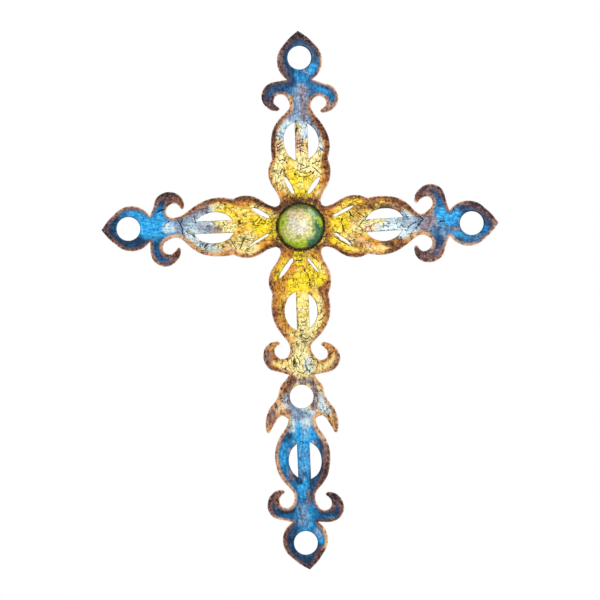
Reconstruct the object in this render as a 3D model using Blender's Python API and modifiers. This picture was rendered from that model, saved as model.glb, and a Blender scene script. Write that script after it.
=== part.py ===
"""Hand-cut steel wall cross with a pressed steel dome at its centre.

The cross is one pierced plate: four budding arms that end in fleur-de-lis tips, the lower arm
with a second fleur, a ring with two leaves and a second bud. The plate's flat back lies against
the wall at Y = 0, the front faces -Y, +Z is up, and the origin is the centre of the hub's back.
Along is the distance outwards from the hub's centre on an arm, and out is the distance sideways.
"""

import math
from dataclasses import dataclass

import bpy
from mathutils import Vector

MM = 0.001

# The plate.
PLATE_THICKNESS = 3.0 * MM
EDGE_CHAMFER = 0.8 * MM
HUB_CORNER = 24.1 * MM

# The bud that each arm starts with: two lobes, then the neck that carries the curls.
LOBE_AT = 61.0 * MM
LOBE_HALF_WIDTH = 34.8 * MM
NOTCH_AT = 75.0 * MM
NOTCH_HALF_WIDTH = 31.2 * MM
OVAL_AT = 91.0 * MM
OVAL_HALF_WIDTH = 32.8 * MM
NECK_AT = 134.5 * MM
NECK_HALF_WIDTH = 11.6 * MM

# The opening in an oval, and the bar that crosses it.
OPENING_AT = 94.2 * MM
OPENING_HALF_LENGTH = 22.3 * MM
OPENING_HALF_WIDTH = 18.2 * MM
BAR_HALF_WIDTH = 7.1 * MM

# The slanting slot in each lobe.
SLOT_START = (36.4 * MM, 8.6 * MM)
SLOT_END = (56.6 * MM, 21.6 * MM)
SLOT_WIDTH = 4.9 * MM

# One side of a slot: how far along it each point is, and its share of the slot's half width.
SLOT_SIDE = ((0.0, 0.0), (0.25, 0.8), (0.6, 1.0), (0.88, 0.6), (1.0, 0.0))

# A curl is a hook between two circles, measured along from its neck.
CURL_INNER_AT = 5.0 * MM
CURL_INNER_OUT = 21.4 * MM
CURL_INNER_RADIUS = 7.9 * MM
CURL_OUTER_AT = 10.2 * MM
CURL_OUTER_OUT = 25.6 * MM
CURL_OUTER_RADIUS = 17.1 * MM
CURL_TIP_AT = -5.0 * MM
CURL_TIP_OUT = 22.6 * MM

# The finial is a drop with a round hole, measured along from its neck.
WAIST_AT = 30.6 * MM
WAIST_HALF_WIDTH = 14.2 * MM
FINIAL_AT = 51.4 * MM
FINIAL_RADIUS = 25.1 * MM
FINIAL_TIP_AT = 85.0 * MM
HOLE_AT = 55.0 * MM
HOLE_RADIUS = 13.2 * MM

# The lower arm's ring with its two leaves, and the second bud below it.
RING_RADIUS = 26.2 * MM
LEAF_TIP_AT = 230.3 * MM
LEAF_TIP_OUT = 37.9 * MM
LEAF_CORNER_AT = 214.4 * MM
LEAF_CORNER_OUT = 14.8 * MM
LOWER_OVAL_AT = 256.0 * MM
LOWER_OVAL_HALF_WIDTH = 30.9 * MM
LOWER_NECK_AT = 299.5 * MM
LOWER_OPENING_AT = 261.0 * MM
LOWER_OPENING_HALF_LENGTH = 21.4 * MM
LOWER_OPENING_HALF_WIDTH = 18.2 * MM

# The dome: a pressed cap with a rolled foot, seated on the front of the hub.
DOME_RADIUS = 26.3 * MM
DOME_HEIGHT = 20.0 * MM
DOME_WALL = 1.2 * MM
FOOT_WIDTH = 2.2 * MM
FOOT_HEIGHT = 2.0 * MM
SEAT_GAP = 0.3 * MM

# The outline's arcs: start and end in degrees from the arm's outward direction, and knots.
CURL_INNER_ARC = (-62.0, 145.0, 6)
CURL_OUTER_ARC = (168.0, 0.0, 6)
DROP_ARC_START = 128.0
DROP_ARC_KNOTS = 5
RING_ARC = (140.0, 92.0, 3)

# How finely curves are divided.
OUTLINE_STEPS = 2
HOLE_STEPS = 6
HOLE_ARCS = 4
OPENING_KNOTS = 7
DOME_SIDES = 36
DOME_RINGS = 8
FOOT_RINGS = 4
MERGE_DISTANCE = 0.01 * MM

# The most that a chamfer takes of the plate's thickness, and the foot of the dome's height.
CHAMFER_SHARE = 0.45
FOOT_SHARE = 0.4

BLUE_PAINT = (0.03, 0.22, 0.55, 1.0)
GREEN_PAINT = (0.28, 0.45, 0.10, 1.0)
PAINT_METALLIC = 0.3


@dataclass
class Stray:
    """How far the plate was cut from its pattern at one distance along an arm."""

    at: float
    slip: float = 0.0
    sway: float = 0.0


@dataclass
class Curl:
    """How far one hook was cut from its pattern: outwards along the arm, and away from its middle."""

    slip: float = 0.0
    reach: float = 0.0


@dataclass
class Slot:
    """How far one slot was cut from its pattern: its inner end, its outer end, and its width."""

    start: tuple = (0.0, 0.0)
    end: tuple = (0.0, 0.0)
    narrowed: float = 0.0


@dataclass
class Oval:
    """How far an oval's two openings and the bar between them were cut from their pattern."""

    slip: float = 0.0
    sway: float = 0.0
    bar_sway: float = 0.0
    widened: float = 0.0


@dataclass
class Arm:
    """One arm: where it points, and how its cutting strays. Hooks and slots come + side first."""

    clockwise: float
    strays: tuple
    curls: tuple
    slots: tuple
    ovals: tuple
    finial_lean: float = 0.0
    long: bool = False


SHOULDER_AT = 0.4 * OVAL_AT + 0.6 * NECK_AT
CURLS_AT = NECK_AT + CURL_OUTER_AT
DROP_AT = NECK_AT + FINIAL_AT
LOWER_CURLS_AT = LOWER_NECK_AT + CURL_OUTER_AT
LOWER_DROP_AT = LOWER_NECK_AT + FINIAL_AT

ARMS = (
    Arm(
        clockwise=0.0,
        strays=(
            Stray(LOBE_AT, sway=-0.6 * MM),
            Stray(OVAL_AT, sway=0.9 * MM),
            Stray(SHOULDER_AT, sway=-0.8 * MM),
            Stray(NECK_AT, sway=1.2 * MM),
            Stray(CURLS_AT, slip=-1.2 * MM, sway=1.0 * MM),
            Stray(DROP_AT, slip=-1.2 * MM, sway=1.2 * MM),
        ),
        curls=((Curl(slip=-1.0 * MM), Curl(slip=1.4 * MM)),),
        slots=(
            Slot(end=(-1.5 * MM, 1.0 * MM)),
            Slot(start=(0.0, -1.5 * MM), end=(-1.0 * MM, -4.8 * MM), narrowed=0.3 * MM),
        ),
        ovals=(Oval(slip=1.0 * MM, sway=1.1 * MM, bar_sway=2.6 * MM, widened=1.2 * MM),),
        finial_lean=-2.5,
    ),
    Arm(
        clockwise=90.0,
        strays=(
            Stray(LOBE_AT, sway=0.4 * MM),
            Stray(OVAL_AT, sway=-0.1 * MM),
            Stray(SHOULDER_AT, sway=-1.9 * MM),
            Stray(NECK_AT, sway=-0.6 * MM),
            Stray(CURLS_AT, slip=0.6 * MM, sway=-2.2 * MM),
            Stray(DROP_AT, slip=1.2 * MM, sway=-1.2 * MM),
        ),
        curls=((Curl(slip=-1.5 * MM, reach=0.8 * MM), Curl(slip=-0.6 * MM, reach=0.8 * MM)),),
        slots=(
            Slot(start=(1.4 * MM, -1.1 * MM), end=(-0.6 * MM, -1.1 * MM), narrowed=2.0 * MM),
            Slot(start=(0.0, 2.4 * MM), end=(2.2 * MM, 1.2 * MM), narrowed=1.6 * MM),
        ),
        ovals=(Oval(slip=-0.8 * MM, sway=-0.7 * MM),),
    ),
    Arm(
        clockwise=180.0,
        strays=(
            Stray(LOBE_AT, sway=1.7 * MM),
            Stray(OVAL_AT, sway=1.0 * MM),
            Stray(SHOULDER_AT, sway=0.7 * MM),
            Stray(NECK_AT, sway=2.2 * MM),
            Stray(CURLS_AT, sway=0.7 * MM),
            Stray(NECK_AT + HOLE_AT, sway=1.6 * MM),
            Stray(LOWER_OVAL_AT, sway=1.4 * MM),
            Stray(LOWER_NECK_AT, sway=-0.4 * MM),
            Stray(LOWER_CURLS_AT, slip=0.6 * MM, sway=-0.6 * MM),
            Stray(LOWER_DROP_AT, slip=-1.8 * MM, sway=-0.4 * MM),
        ),
        curls=(
            (Curl(), Curl(slip=1.4 * MM)),
            (Curl(slip=0.6 * MM, reach=-0.8 * MM), Curl(slip=3.6 * MM, reach=0.6 * MM)),
        ),
        slots=(
            Slot(start=(-1.2 * MM, 0.0), end=(0.5 * MM, 1.2 * MM)),
            Slot(start=(-0.7 * MM, -1.1 * MM), end=(-5.7 * MM, -0.9 * MM), narrowed=2.6 * MM),
        ),
        ovals=(Oval(bar_sway=-2.1 * MM), Oval(sway=-2.7 * MM, bar_sway=-0.9 * MM)),
        finial_lean=-7.8,
        long=True,
    ),
    Arm(
        clockwise=270.0,
        strays=(
            Stray(LOBE_AT, sway=0.6 * MM),
            Stray(OVAL_AT, sway=0.8 * MM),
            Stray(SHOULDER_AT, slip=2.0 * MM, sway=-0.5 * MM),
            Stray(NECK_AT, slip=3.0 * MM, sway=0.9 * MM),
            Stray(CURLS_AT, slip=3.2 * MM, sway=-0.2 * MM),
            Stray(DROP_AT, slip=2.6 * MM, sway=0.2 * MM),
        ),
        curls=((Curl(slip=-0.8 * MM, reach=-2.2 * MM), Curl(slip=3.2 * MM, reach=-0.4 * MM)),),
        slots=(
            Slot(start=(-1.7 * MM, 1.8 * MM), end=(-2.3 * MM, -0.7 * MM), narrowed=0.3 * MM),
            Slot(start=(-0.8 * MM, -0.6 * MM), end=(0.0, -0.6 * MM), narrowed=2.4 * MM),
        ),
        ovals=(Oval(slip=1.5 * MM, sway=-0.6 * MM, bar_sway=0.65 * MM, widened=-0.9 * MM),),
        finial_lean=-2.0,
    ),
)


@dataclass
class Knot:
    """A point of an outline: along the arm, out from its middle, and whether the line turns there."""

    along: float
    out: float
    corner: bool = False


def arc(centre_along, centre_out, radius, start, end, count):
    """Knots on a circle from one angle to another, in degrees from the arm's outward direction."""
    angles = (math.radians(start + (end - start) * i / (count - 1)) for i in range(count))
    return [
        Knot(centre_along + radius * math.cos(a), centre_out + radius * math.sin(a))
        for a in angles
    ]


def bud_side():
    """From the hub's corner over both lobes to just before the neck."""
    lobe_rise = LOBE_HALF_WIDTH - HUB_CORNER
    oval_drop = OVAL_HALF_WIDTH - NECK_HALF_WIDTH
    fall = NECK_AT - OVAL_AT
    return [
        Knot(LOBE_AT * 0.515, HUB_CORNER - 0.085 * lobe_rise),
        Knot(LOBE_AT * 0.70, HUB_CORNER + 0.45 * lobe_rise),
        Knot(LOBE_AT * 0.83, HUB_CORNER + 0.84 * lobe_rise),
        Knot(LOBE_AT, LOBE_HALF_WIDTH),
        Knot((LOBE_AT + NOTCH_AT) / 2, (LOBE_HALF_WIDTH * 3 + NOTCH_HALF_WIDTH) / 4),
        Knot(NOTCH_AT, NOTCH_HALF_WIDTH, corner=True),
        Knot((NOTCH_AT + OVAL_AT) / 2, (OVAL_HALF_WIDTH * 3 + NOTCH_HALF_WIDTH) / 4),
        Knot(OVAL_AT, OVAL_HALF_WIDTH),
        Knot(OVAL_AT + 0.27 * fall, OVAL_HALF_WIDTH - 0.08 * oval_drop),
        Knot(OVAL_AT + 0.50 * fall, OVAL_HALF_WIDTH - 0.28 * oval_drop),
        Knot(OVAL_AT + 0.73 * fall, OVAL_HALF_WIDTH - 0.63 * oval_drop),
        Knot(OVAL_AT + 0.88 * fall, OVAL_HALF_WIDTH - 0.90 * oval_drop),
        Knot(NECK_AT, NECK_HALF_WIDTH),
    ]


def curl_side(neck, curl):
    """From the neck round the hook to the waist."""
    along = neck + curl.slip
    inner_centre = (along + CURL_INNER_AT, CURL_INNER_OUT + curl.reach)
    outer_centre = (along + CURL_OUTER_AT, CURL_OUTER_OUT + curl.reach)
    inner = arc(*inner_centre, CURL_INNER_RADIUS, *CURL_INNER_ARC)
    outer = arc(*outer_centre, CURL_OUTER_RADIUS, *CURL_OUTER_ARC)
    tip = Knot(along + CURL_TIP_AT, CURL_TIP_OUT + curl.reach)
    waist = Knot(neck + WAIST_AT, WAIST_HALF_WIDTH, corner=True)
    shoulder = Knot(
        outer[-1].along * 0.6 + waist.along * 0.4,
        outer[-1].out * 0.6 + waist.out * 0.4,
    )
    return [*inner, tip, *outer, shoulder, waist]


def finial_side(neck):
    """From the waist round the drop to just before its point."""
    reach = FINIAL_TIP_AT - FINIAL_AT
    leaves_at = math.degrees(math.acos(FINIAL_RADIUS / reach))
    centre = (neck + FINIAL_AT, 0.0)
    round_part = arc(*centre, FINIAL_RADIUS, DROP_ARC_START, leaves_at, DROP_ARC_KNOTS)
    last = round_part[-1]
    flank = Knot((last.along + neck + FINIAL_TIP_AT) / 2, last.out / 2 * 1.17)
    return [*round_part, flank]


def ring_and_leaf_side():
    """From the first waist round the ring and the hanging leaf to the corner behind it."""
    ring_at = NECK_AT + HOLE_AT
    reach = LEAF_TIP_AT - ring_at
    spread = LEAF_TIP_OUT - RING_RADIUS
    width = LEAF_TIP_OUT - LEAF_CORNER_OUT
    return [
        *arc(ring_at, 0.0, RING_RADIUS, *RING_ARC),
        Knot(ring_at + 0.17 * reach, RING_RADIUS + 0.40 * spread),
        Knot(ring_at + 0.29 * reach, RING_RADIUS + 0.76 * spread),
        Knot(ring_at + 0.47 * reach, RING_RADIUS + 1.06 * spread),
        Knot(ring_at + 0.68 * reach, RING_RADIUS + 1.22 * spread),
        Knot(ring_at + 0.88 * reach, RING_RADIUS + 1.19 * spread),
        Knot(LEAF_TIP_AT, LEAF_TIP_OUT),
        Knot(ring_at + 0.90 * reach, LEAF_TIP_OUT - 0.15 * width),
        Knot(ring_at + 0.70 * reach, LEAF_TIP_OUT - 0.36 * width),
        Knot(ring_at + 0.52 * reach, LEAF_TIP_OUT - 0.66 * width),
        Knot(LEAF_CORNER_AT, LEAF_CORNER_OUT, corner=True),
    ]


def lower_bud_side():
    """From the corner behind the leaf over the lower oval to its neck."""
    rise = LOWER_OVAL_AT - LEAF_CORNER_AT
    swell = LOWER_OVAL_HALF_WIDTH - LEAF_CORNER_OUT
    fall = LOWER_NECK_AT - LOWER_OVAL_AT
    drop = LOWER_OVAL_HALF_WIDTH - NECK_HALF_WIDTH
    return [
        Knot(LEAF_CORNER_AT + 0.20 * rise, LEAF_CORNER_OUT + 0.15 * swell),
        Knot(LEAF_CORNER_AT + 0.44 * rise, LEAF_CORNER_OUT + 0.57 * swell),
        Knot(LEAF_CORNER_AT + 0.70 * rise, LEAF_CORNER_OUT + 0.88 * swell),
        Knot(LOWER_OVAL_AT, LOWER_OVAL_HALF_WIDTH),
        Knot(LOWER_OVAL_AT + 0.30 * fall, LOWER_OVAL_HALF_WIDTH - 0.08 * drop),
        Knot(LOWER_OVAL_AT + 0.50 * fall, LOWER_OVAL_HALF_WIDTH - 0.22 * drop),
        Knot(LOWER_OVAL_AT + 0.70 * fall, LOWER_OVAL_HALF_WIDTH - 0.52 * drop),
        Knot(LOWER_OVAL_AT + 0.87 * fall, LOWER_OVAL_HALF_WIDTH - 0.86 * drop),
        Knot(LOWER_NECK_AT, NECK_HALF_WIDTH),
    ]


def half_outline(arm, side):
    """One side of an arm, from the hub's corner to just before the point."""
    hooks = [pair[0 if side > 0 else 1] for pair in arm.curls]
    knots = [*bud_side(), *curl_side(NECK_AT, hooks[0])]
    if not arm.long:
        return [*knots, *finial_side(NECK_AT)]
    return [
        *knots,
        *ring_and_leaf_side(),
        *lower_bud_side(),
        *curl_side(LOWER_NECK_AT, hooks[1]),
        *finial_side(LOWER_NECK_AT),
    ]


def eased(value, start, end):
    """0 before start, 1 after end, and a smooth step between them."""
    t = min(1.0, max(0.0, (value - start) / (end - start)))
    return t * t * (3 - 2 * t)


def strayed(arm, along):
    """How far the arm's cutting has slipped outwards and swayed sideways at this distance along."""
    before = Stray(HUB_CORNER)
    slip = 0.0
    sway = 0.0
    for stray in arm.strays:
        share = eased(along, before.at, stray.at)
        slip += (stray.slip - before.slip) * share
        sway += (stray.sway - before.sway) * share
        before = stray
    return slip, sway


def placed(arm, along, out):
    """A point of the arm's pattern as it was really cut, on the plate's front plane."""
    neck = LOWER_NECK_AT if arm.long else NECK_AT
    pivot = neck + FINIAL_AT
    lean = math.radians(arm.finial_lean) * eased(along, neck + WAIST_AT, pivot)
    slip, sway = strayed(arm, along)
    beyond = along - pivot
    along_now = pivot + beyond * math.cos(lean) - out * math.sin(lean) + slip
    out_now = beyond * math.sin(lean) + out * math.cos(lean) + sway
    turn = math.radians(arm.clockwise)
    return Vector((
        along_now * math.sin(turn) + out_now * math.cos(turn),
        along_now * math.cos(turn) - out_now * math.sin(turn),
    ))


def whole_outline():
    """The plate's outer edge, clockwise from the corner on the upper arm's left: (point, is corner)."""
    line = []
    for arm in ARMS:
        tip_at = (LOWER_NECK_AT if arm.long else NECK_AT) + FINIAL_TIP_AT
        corner = math.radians(arm.clockwise - 45)
        hub = Vector((math.sin(corner), math.cos(corner))) * HUB_CORNER * math.sqrt(2)
        line.append((hub, False))
        line += [(placed(arm, k.along, -k.out), k.corner) for k in half_outline(arm, -1)]
        line.append((placed(arm, tip_at, 0.0), True))
        line += [(placed(arm, k.along, k.out), k.corner) for k in reversed(half_outline(arm, 1))]
    return line


def opening_side(centre, half_length, half_width, bar_edge):
    """The part of an ellipse that lies beyond the bar's edge, on the out side."""
    start = math.asin(bar_edge / half_width)
    line = []
    last = OPENING_KNOTS - 1
    for i in range(OPENING_KNOTS):
        a = math.pi - start - (math.pi - 2 * start) * i / last
        corner = i in (0, last)
        line.append(Knot(centre + half_length * math.cos(a), half_width * math.sin(a), corner))
    return line


def slot_side(slot):
    """A leaf-shaped slot between its two ends, as a thin lens with round ends."""
    start = Vector(SLOT_START) + Vector(slot.start)
    end = Vector(SLOT_END) + Vector(slot.end)
    run = end - start
    across = Vector((-run.y, run.x)).normalized() * (SLOT_WIDTH - slot.narrowed) / 2
    shape = [*SLOT_SIDE, *((t, -width) for t, width in SLOT_SIDE[-2:0:-1])]
    points = (start + run * t + across * width for t, width in shape)
    return [Knot(p.x, p.y) for p in points]


def pierced(arm):
    """The openings beside the arm's bars, and its slots, as closed lines."""
    for side, slot in zip((1, -1), arm.slots):
        yield [(placed(arm, k.along, k.out * side), k.corner) for k in slot_side(slot)]
    sizes = (
        (OPENING_AT, OPENING_HALF_LENGTH, OPENING_HALF_WIDTH),
        (LOWER_OPENING_AT, LOWER_OPENING_HALF_LENGTH, LOWER_OPENING_HALF_WIDTH),
    )
    for (centre, half_length, half_width), oval in zip(sizes, arm.ovals):
        for side in (1, -1):
            bar_edge = BAR_HALF_WIDTH + side * (oval.bar_sway - oval.sway)
            size = (half_length, half_width + oval.widened, bar_edge)
            line = opening_side(centre + oval.slip, *size)
            yield [(placed(arm, k.along, k.out * side + oval.sway), k.corner) for k in line]


def hole_centres(arm):
    """Where the arm's round holes are, along the arm."""
    necks = (NECK_AT, LOWER_NECK_AT) if arm.long else (NECK_AT,)
    return [neck + HOLE_AT for neck in necks]


def add_closed_line(curve, line, steps):
    """Adds one closed Bezier line: smooth at its knots, and turning at its corners."""
    spline = curve.splines.new("BEZIER")
    spline.bezier_points.add(len(line) - 1)
    spline.use_cyclic_u = True
    spline.resolution_u = steps
    for point, (place, corner) in zip(spline.bezier_points, line):
        point.co = (place.x, place.y, 0.0)
        kind = "VECTOR" if corner else "AUTO"
        point.handle_left_type = kind
        point.handle_right_type = kind


def add_hole(curve, centre, radius):
    """Adds a round hole as a few arcs."""
    line = [
        (centre + Vector((math.cos(a), math.sin(a))) * radius, False)
        for a in (math.tau * i / HOLE_ARCS for i in range(HOLE_ARCS))
    ]
    add_closed_line(curve, line, HOLE_STEPS)


def painted(name, colour, roughness):
    """The plate's and the dome's paint: a metallic lacquer."""
    material = bpy.data.materials.new(name)
    material.use_nodes = True
    shader = material.node_tree.nodes["Principled BSDF"]
    shader.inputs["Base Color"].default_value = colour
    shader.inputs["Roughness"].default_value = roughness
    shader.inputs["Metallic"].default_value = PAINT_METALLIC
    return material


def make_plate(collection):
    """The pierced plate, standing upright with its back at Y = 0."""
    chamfer = min(EDGE_CHAMFER, PLATE_THICKNESS * CHAMFER_SHARE)
    curve = bpy.data.curves.new("cross_plate", "CURVE")
    curve.dimensions = "2D"
    curve.fill_mode = "BOTH"
    curve.bevel_depth = chamfer
    curve.bevel_resolution = 0
    curve.offset = -chamfer
    curve.extrude = PLATE_THICKNESS / 2 - chamfer
    add_closed_line(curve, whole_outline(), OUTLINE_STEPS)
    for arm in ARMS:
        for line in pierced(arm):
            add_closed_line(curve, line, OUTLINE_STEPS)
        for along in hole_centres(arm):
            add_hole(curve, placed(arm, along, 0.0), HOLE_RADIUS)
    curve.materials.append(painted("crackled blue and gold paint", BLUE_PAINT, 0.45))
    plate = bpy.data.objects.new("cross_plate", curve)
    plate.rotation_euler = (math.radians(90), 0.0, 0.0)
    plate.location = (0.0, -PLATE_THICKNESS / 2, 0.0)
    collection.objects.link(plate)
    return plate


def dome_profile():
    """Half the dome's section: down the outside, round the foot, and up the inside."""
    def cap(radius, height, count):
        sphere = (radius**2 + height**2) / (2 * height)
        last = math.asin(min(1.0, radius / sphere))
        angles = (last * i / (count - 1) for i in range(count))
        return [(sphere * math.sin(a), height - sphere + sphere * math.cos(a)) for a in angles]

    outside = cap(DOME_RADIUS, DOME_HEIGHT, DOME_RINGS)
    inside = cap(DOME_RADIUS - DOME_WALL, DOME_HEIGHT - DOME_WALL, DOME_RINGS - 2)
    neck_height = min(FOOT_HEIGHT, DOME_HEIGHT * FOOT_SHARE)
    outside = [(r, h) for r, h in outside if h > neck_height]
    foot = []
    for i in range(FOOT_RINGS + 1):
        a = math.radians(90 - 180 * i / FOOT_RINGS)
        foot.append((DOME_RADIUS + FOOT_WIDTH * max(0.0, math.cos(a)),
                     neck_height / 2 * (1 + math.sin(a))))
    return [*outside, *foot, *reversed(inside)]


def make_dome(collection):
    """The pressed dome, turned about the hub's axis and seated on the plate's front."""
    mesh = bpy.data.meshes.new("centre_dome")
    profile = dome_profile()
    points = [(radius, 0.0, height) for radius, height in profile]
    mesh.from_pydata(points, [(i, i + 1) for i in range(len(points) - 1)], [])
    dome = bpy.data.objects.new("centre_dome", mesh)
    collection.objects.link(dome)
    turned = dome.modifiers.new("turned", "SCREW")
    turned.axis = "Z"
    turned.angle = math.tau
    turned.steps = DOME_SIDES
    turned.render_steps = DOME_SIDES
    turned.use_merge_vertices = True
    turned.merge_threshold = MERGE_DISTANCE
    turned.use_smooth_shade = True
    mesh.materials.append(painted("green paint", GREEN_PAINT, 0.35))
    dome.rotation_euler = (math.radians(90), 0.0, 0.0)
    dome.location = (0.0, -PLATE_THICKNESS - SEAT_GAP, 0.0)
    return dome


def main():
    """Clears the scene and builds the cross."""
    for old in list(bpy.data.objects):
        bpy.data.objects.remove(old, do_unlink=True)
    collection = bpy.data.collections.new("wall cross")
    bpy.context.scene.collection.children.link(collection)
    make_plate(collection)
    make_dome(collection)


main()
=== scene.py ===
"""Looks of the metal wall cross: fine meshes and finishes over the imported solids.

The plate was cut by hand from sheet steel, burnt brown along its rim, brushed with transparent gold
and blue colours and varnished, and the varnish has crackled. A pressed dome sits at its centre in a
dark, lumpy seam. Places on the cross are given in millimetres, right of and above the dome's middle,
as one looks at the front, which faces -Y.
"""

import logging
import math
from collections.abc import Iterable, Iterator, Sequence
from dataclasses import dataclass, field
from enum import Enum

import bpy
import numpy as np
from mathutils import Matrix, Vector, kdtree
from mathutils import noise as perlin
from mathutils.geometry import delaunay_2d_cdt


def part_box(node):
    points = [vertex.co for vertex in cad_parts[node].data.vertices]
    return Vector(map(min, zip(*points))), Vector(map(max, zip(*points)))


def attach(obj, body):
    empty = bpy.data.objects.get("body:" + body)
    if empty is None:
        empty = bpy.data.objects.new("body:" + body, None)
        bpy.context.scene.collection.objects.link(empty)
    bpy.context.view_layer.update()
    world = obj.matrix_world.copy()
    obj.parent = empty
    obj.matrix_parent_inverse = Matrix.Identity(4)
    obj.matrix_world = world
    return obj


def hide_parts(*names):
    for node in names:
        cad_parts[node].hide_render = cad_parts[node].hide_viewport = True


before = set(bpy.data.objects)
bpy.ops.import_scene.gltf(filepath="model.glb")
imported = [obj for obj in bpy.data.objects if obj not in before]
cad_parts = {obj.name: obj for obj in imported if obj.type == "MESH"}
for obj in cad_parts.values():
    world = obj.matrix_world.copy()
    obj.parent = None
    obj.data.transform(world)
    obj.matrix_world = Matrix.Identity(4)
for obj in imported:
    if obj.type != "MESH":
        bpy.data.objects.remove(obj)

log = logging.getLogger("wall_cross")

MM = 0.001
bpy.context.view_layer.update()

Place = tuple[float, float]
Colour = tuple[float, float, float, float]


def tone(red: float, green: float, blue: float) -> Colour:
    """Turns a screen colour, from 0 to 1, into the linear colour that shaders use."""
    linear = [c / 12.92 if c <= 0.04045 else ((c + 0.055) / 1.055) ** 2.4 for c in (red, green, blue)]
    return (*linear, 1.0)


# The painter's notes: what was brushed, burnt and cracked, and where.


class Paint(Enum):
    """The colours brushed over the ground, each named as the mesh layer that holds it."""

    AMBER = "amber"
    LEMON = "lemon"
    CREAM = "cream"
    PEACH = "peach"
    ICE = "ice"
    LILAC = "lilac"
    SKY = "sky"
    AZURE = "azure"
    NAVY = "navy"
    MAUVE = "mauve"
    RUST = "rust"
    OLIVE = "olive"
    TEAL = "teal"
    MINT = "mint"
    LIME = "lime"
    PEARL_AND_HIGHLIGHT = "pearl_and_highlight"
    SOOT = "soot"


@dataclass(frozen=True)
class Stroke:
    """One pull of the brush.

    Attributes:
        reach: How far the colour spreads to each side of the path, in millimetres.
        strength: How much of it covers at the path.
        path: The places that the brush passes.
    """

    reach: float
    strength: float
    path: tuple[Place, ...]


@dataclass(frozen=True)
class Burn:
    """How the torch left one stretch of the rim.

    Attributes:
        at: The middle of the stretch.
        spread: How far along the rim it holds, in millimetres.
        depth: How far the brown runs in from the edge, in millimetres.
        shade: From 0, golden tan, through 0.5, copper brown, to 1, purple black.
    """

    at: Place
    spread: float
    depth: float
    shade: float


@dataclass(frozen=True)
class Crack:
    """One bold crack in the varnish: its width in millimetres and the places that it runs through."""

    width: float
    path: tuple[Place, ...]


def pulls(*rows: tuple[float | Place, ...]) -> tuple[Stroke, ...]:
    """Makes one colour's strokes from rows of a reach, a strength and the path's places."""
    return tuple(Stroke(reach, strength, tuple(path)) for reach, strength, *path in rows)


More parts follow.
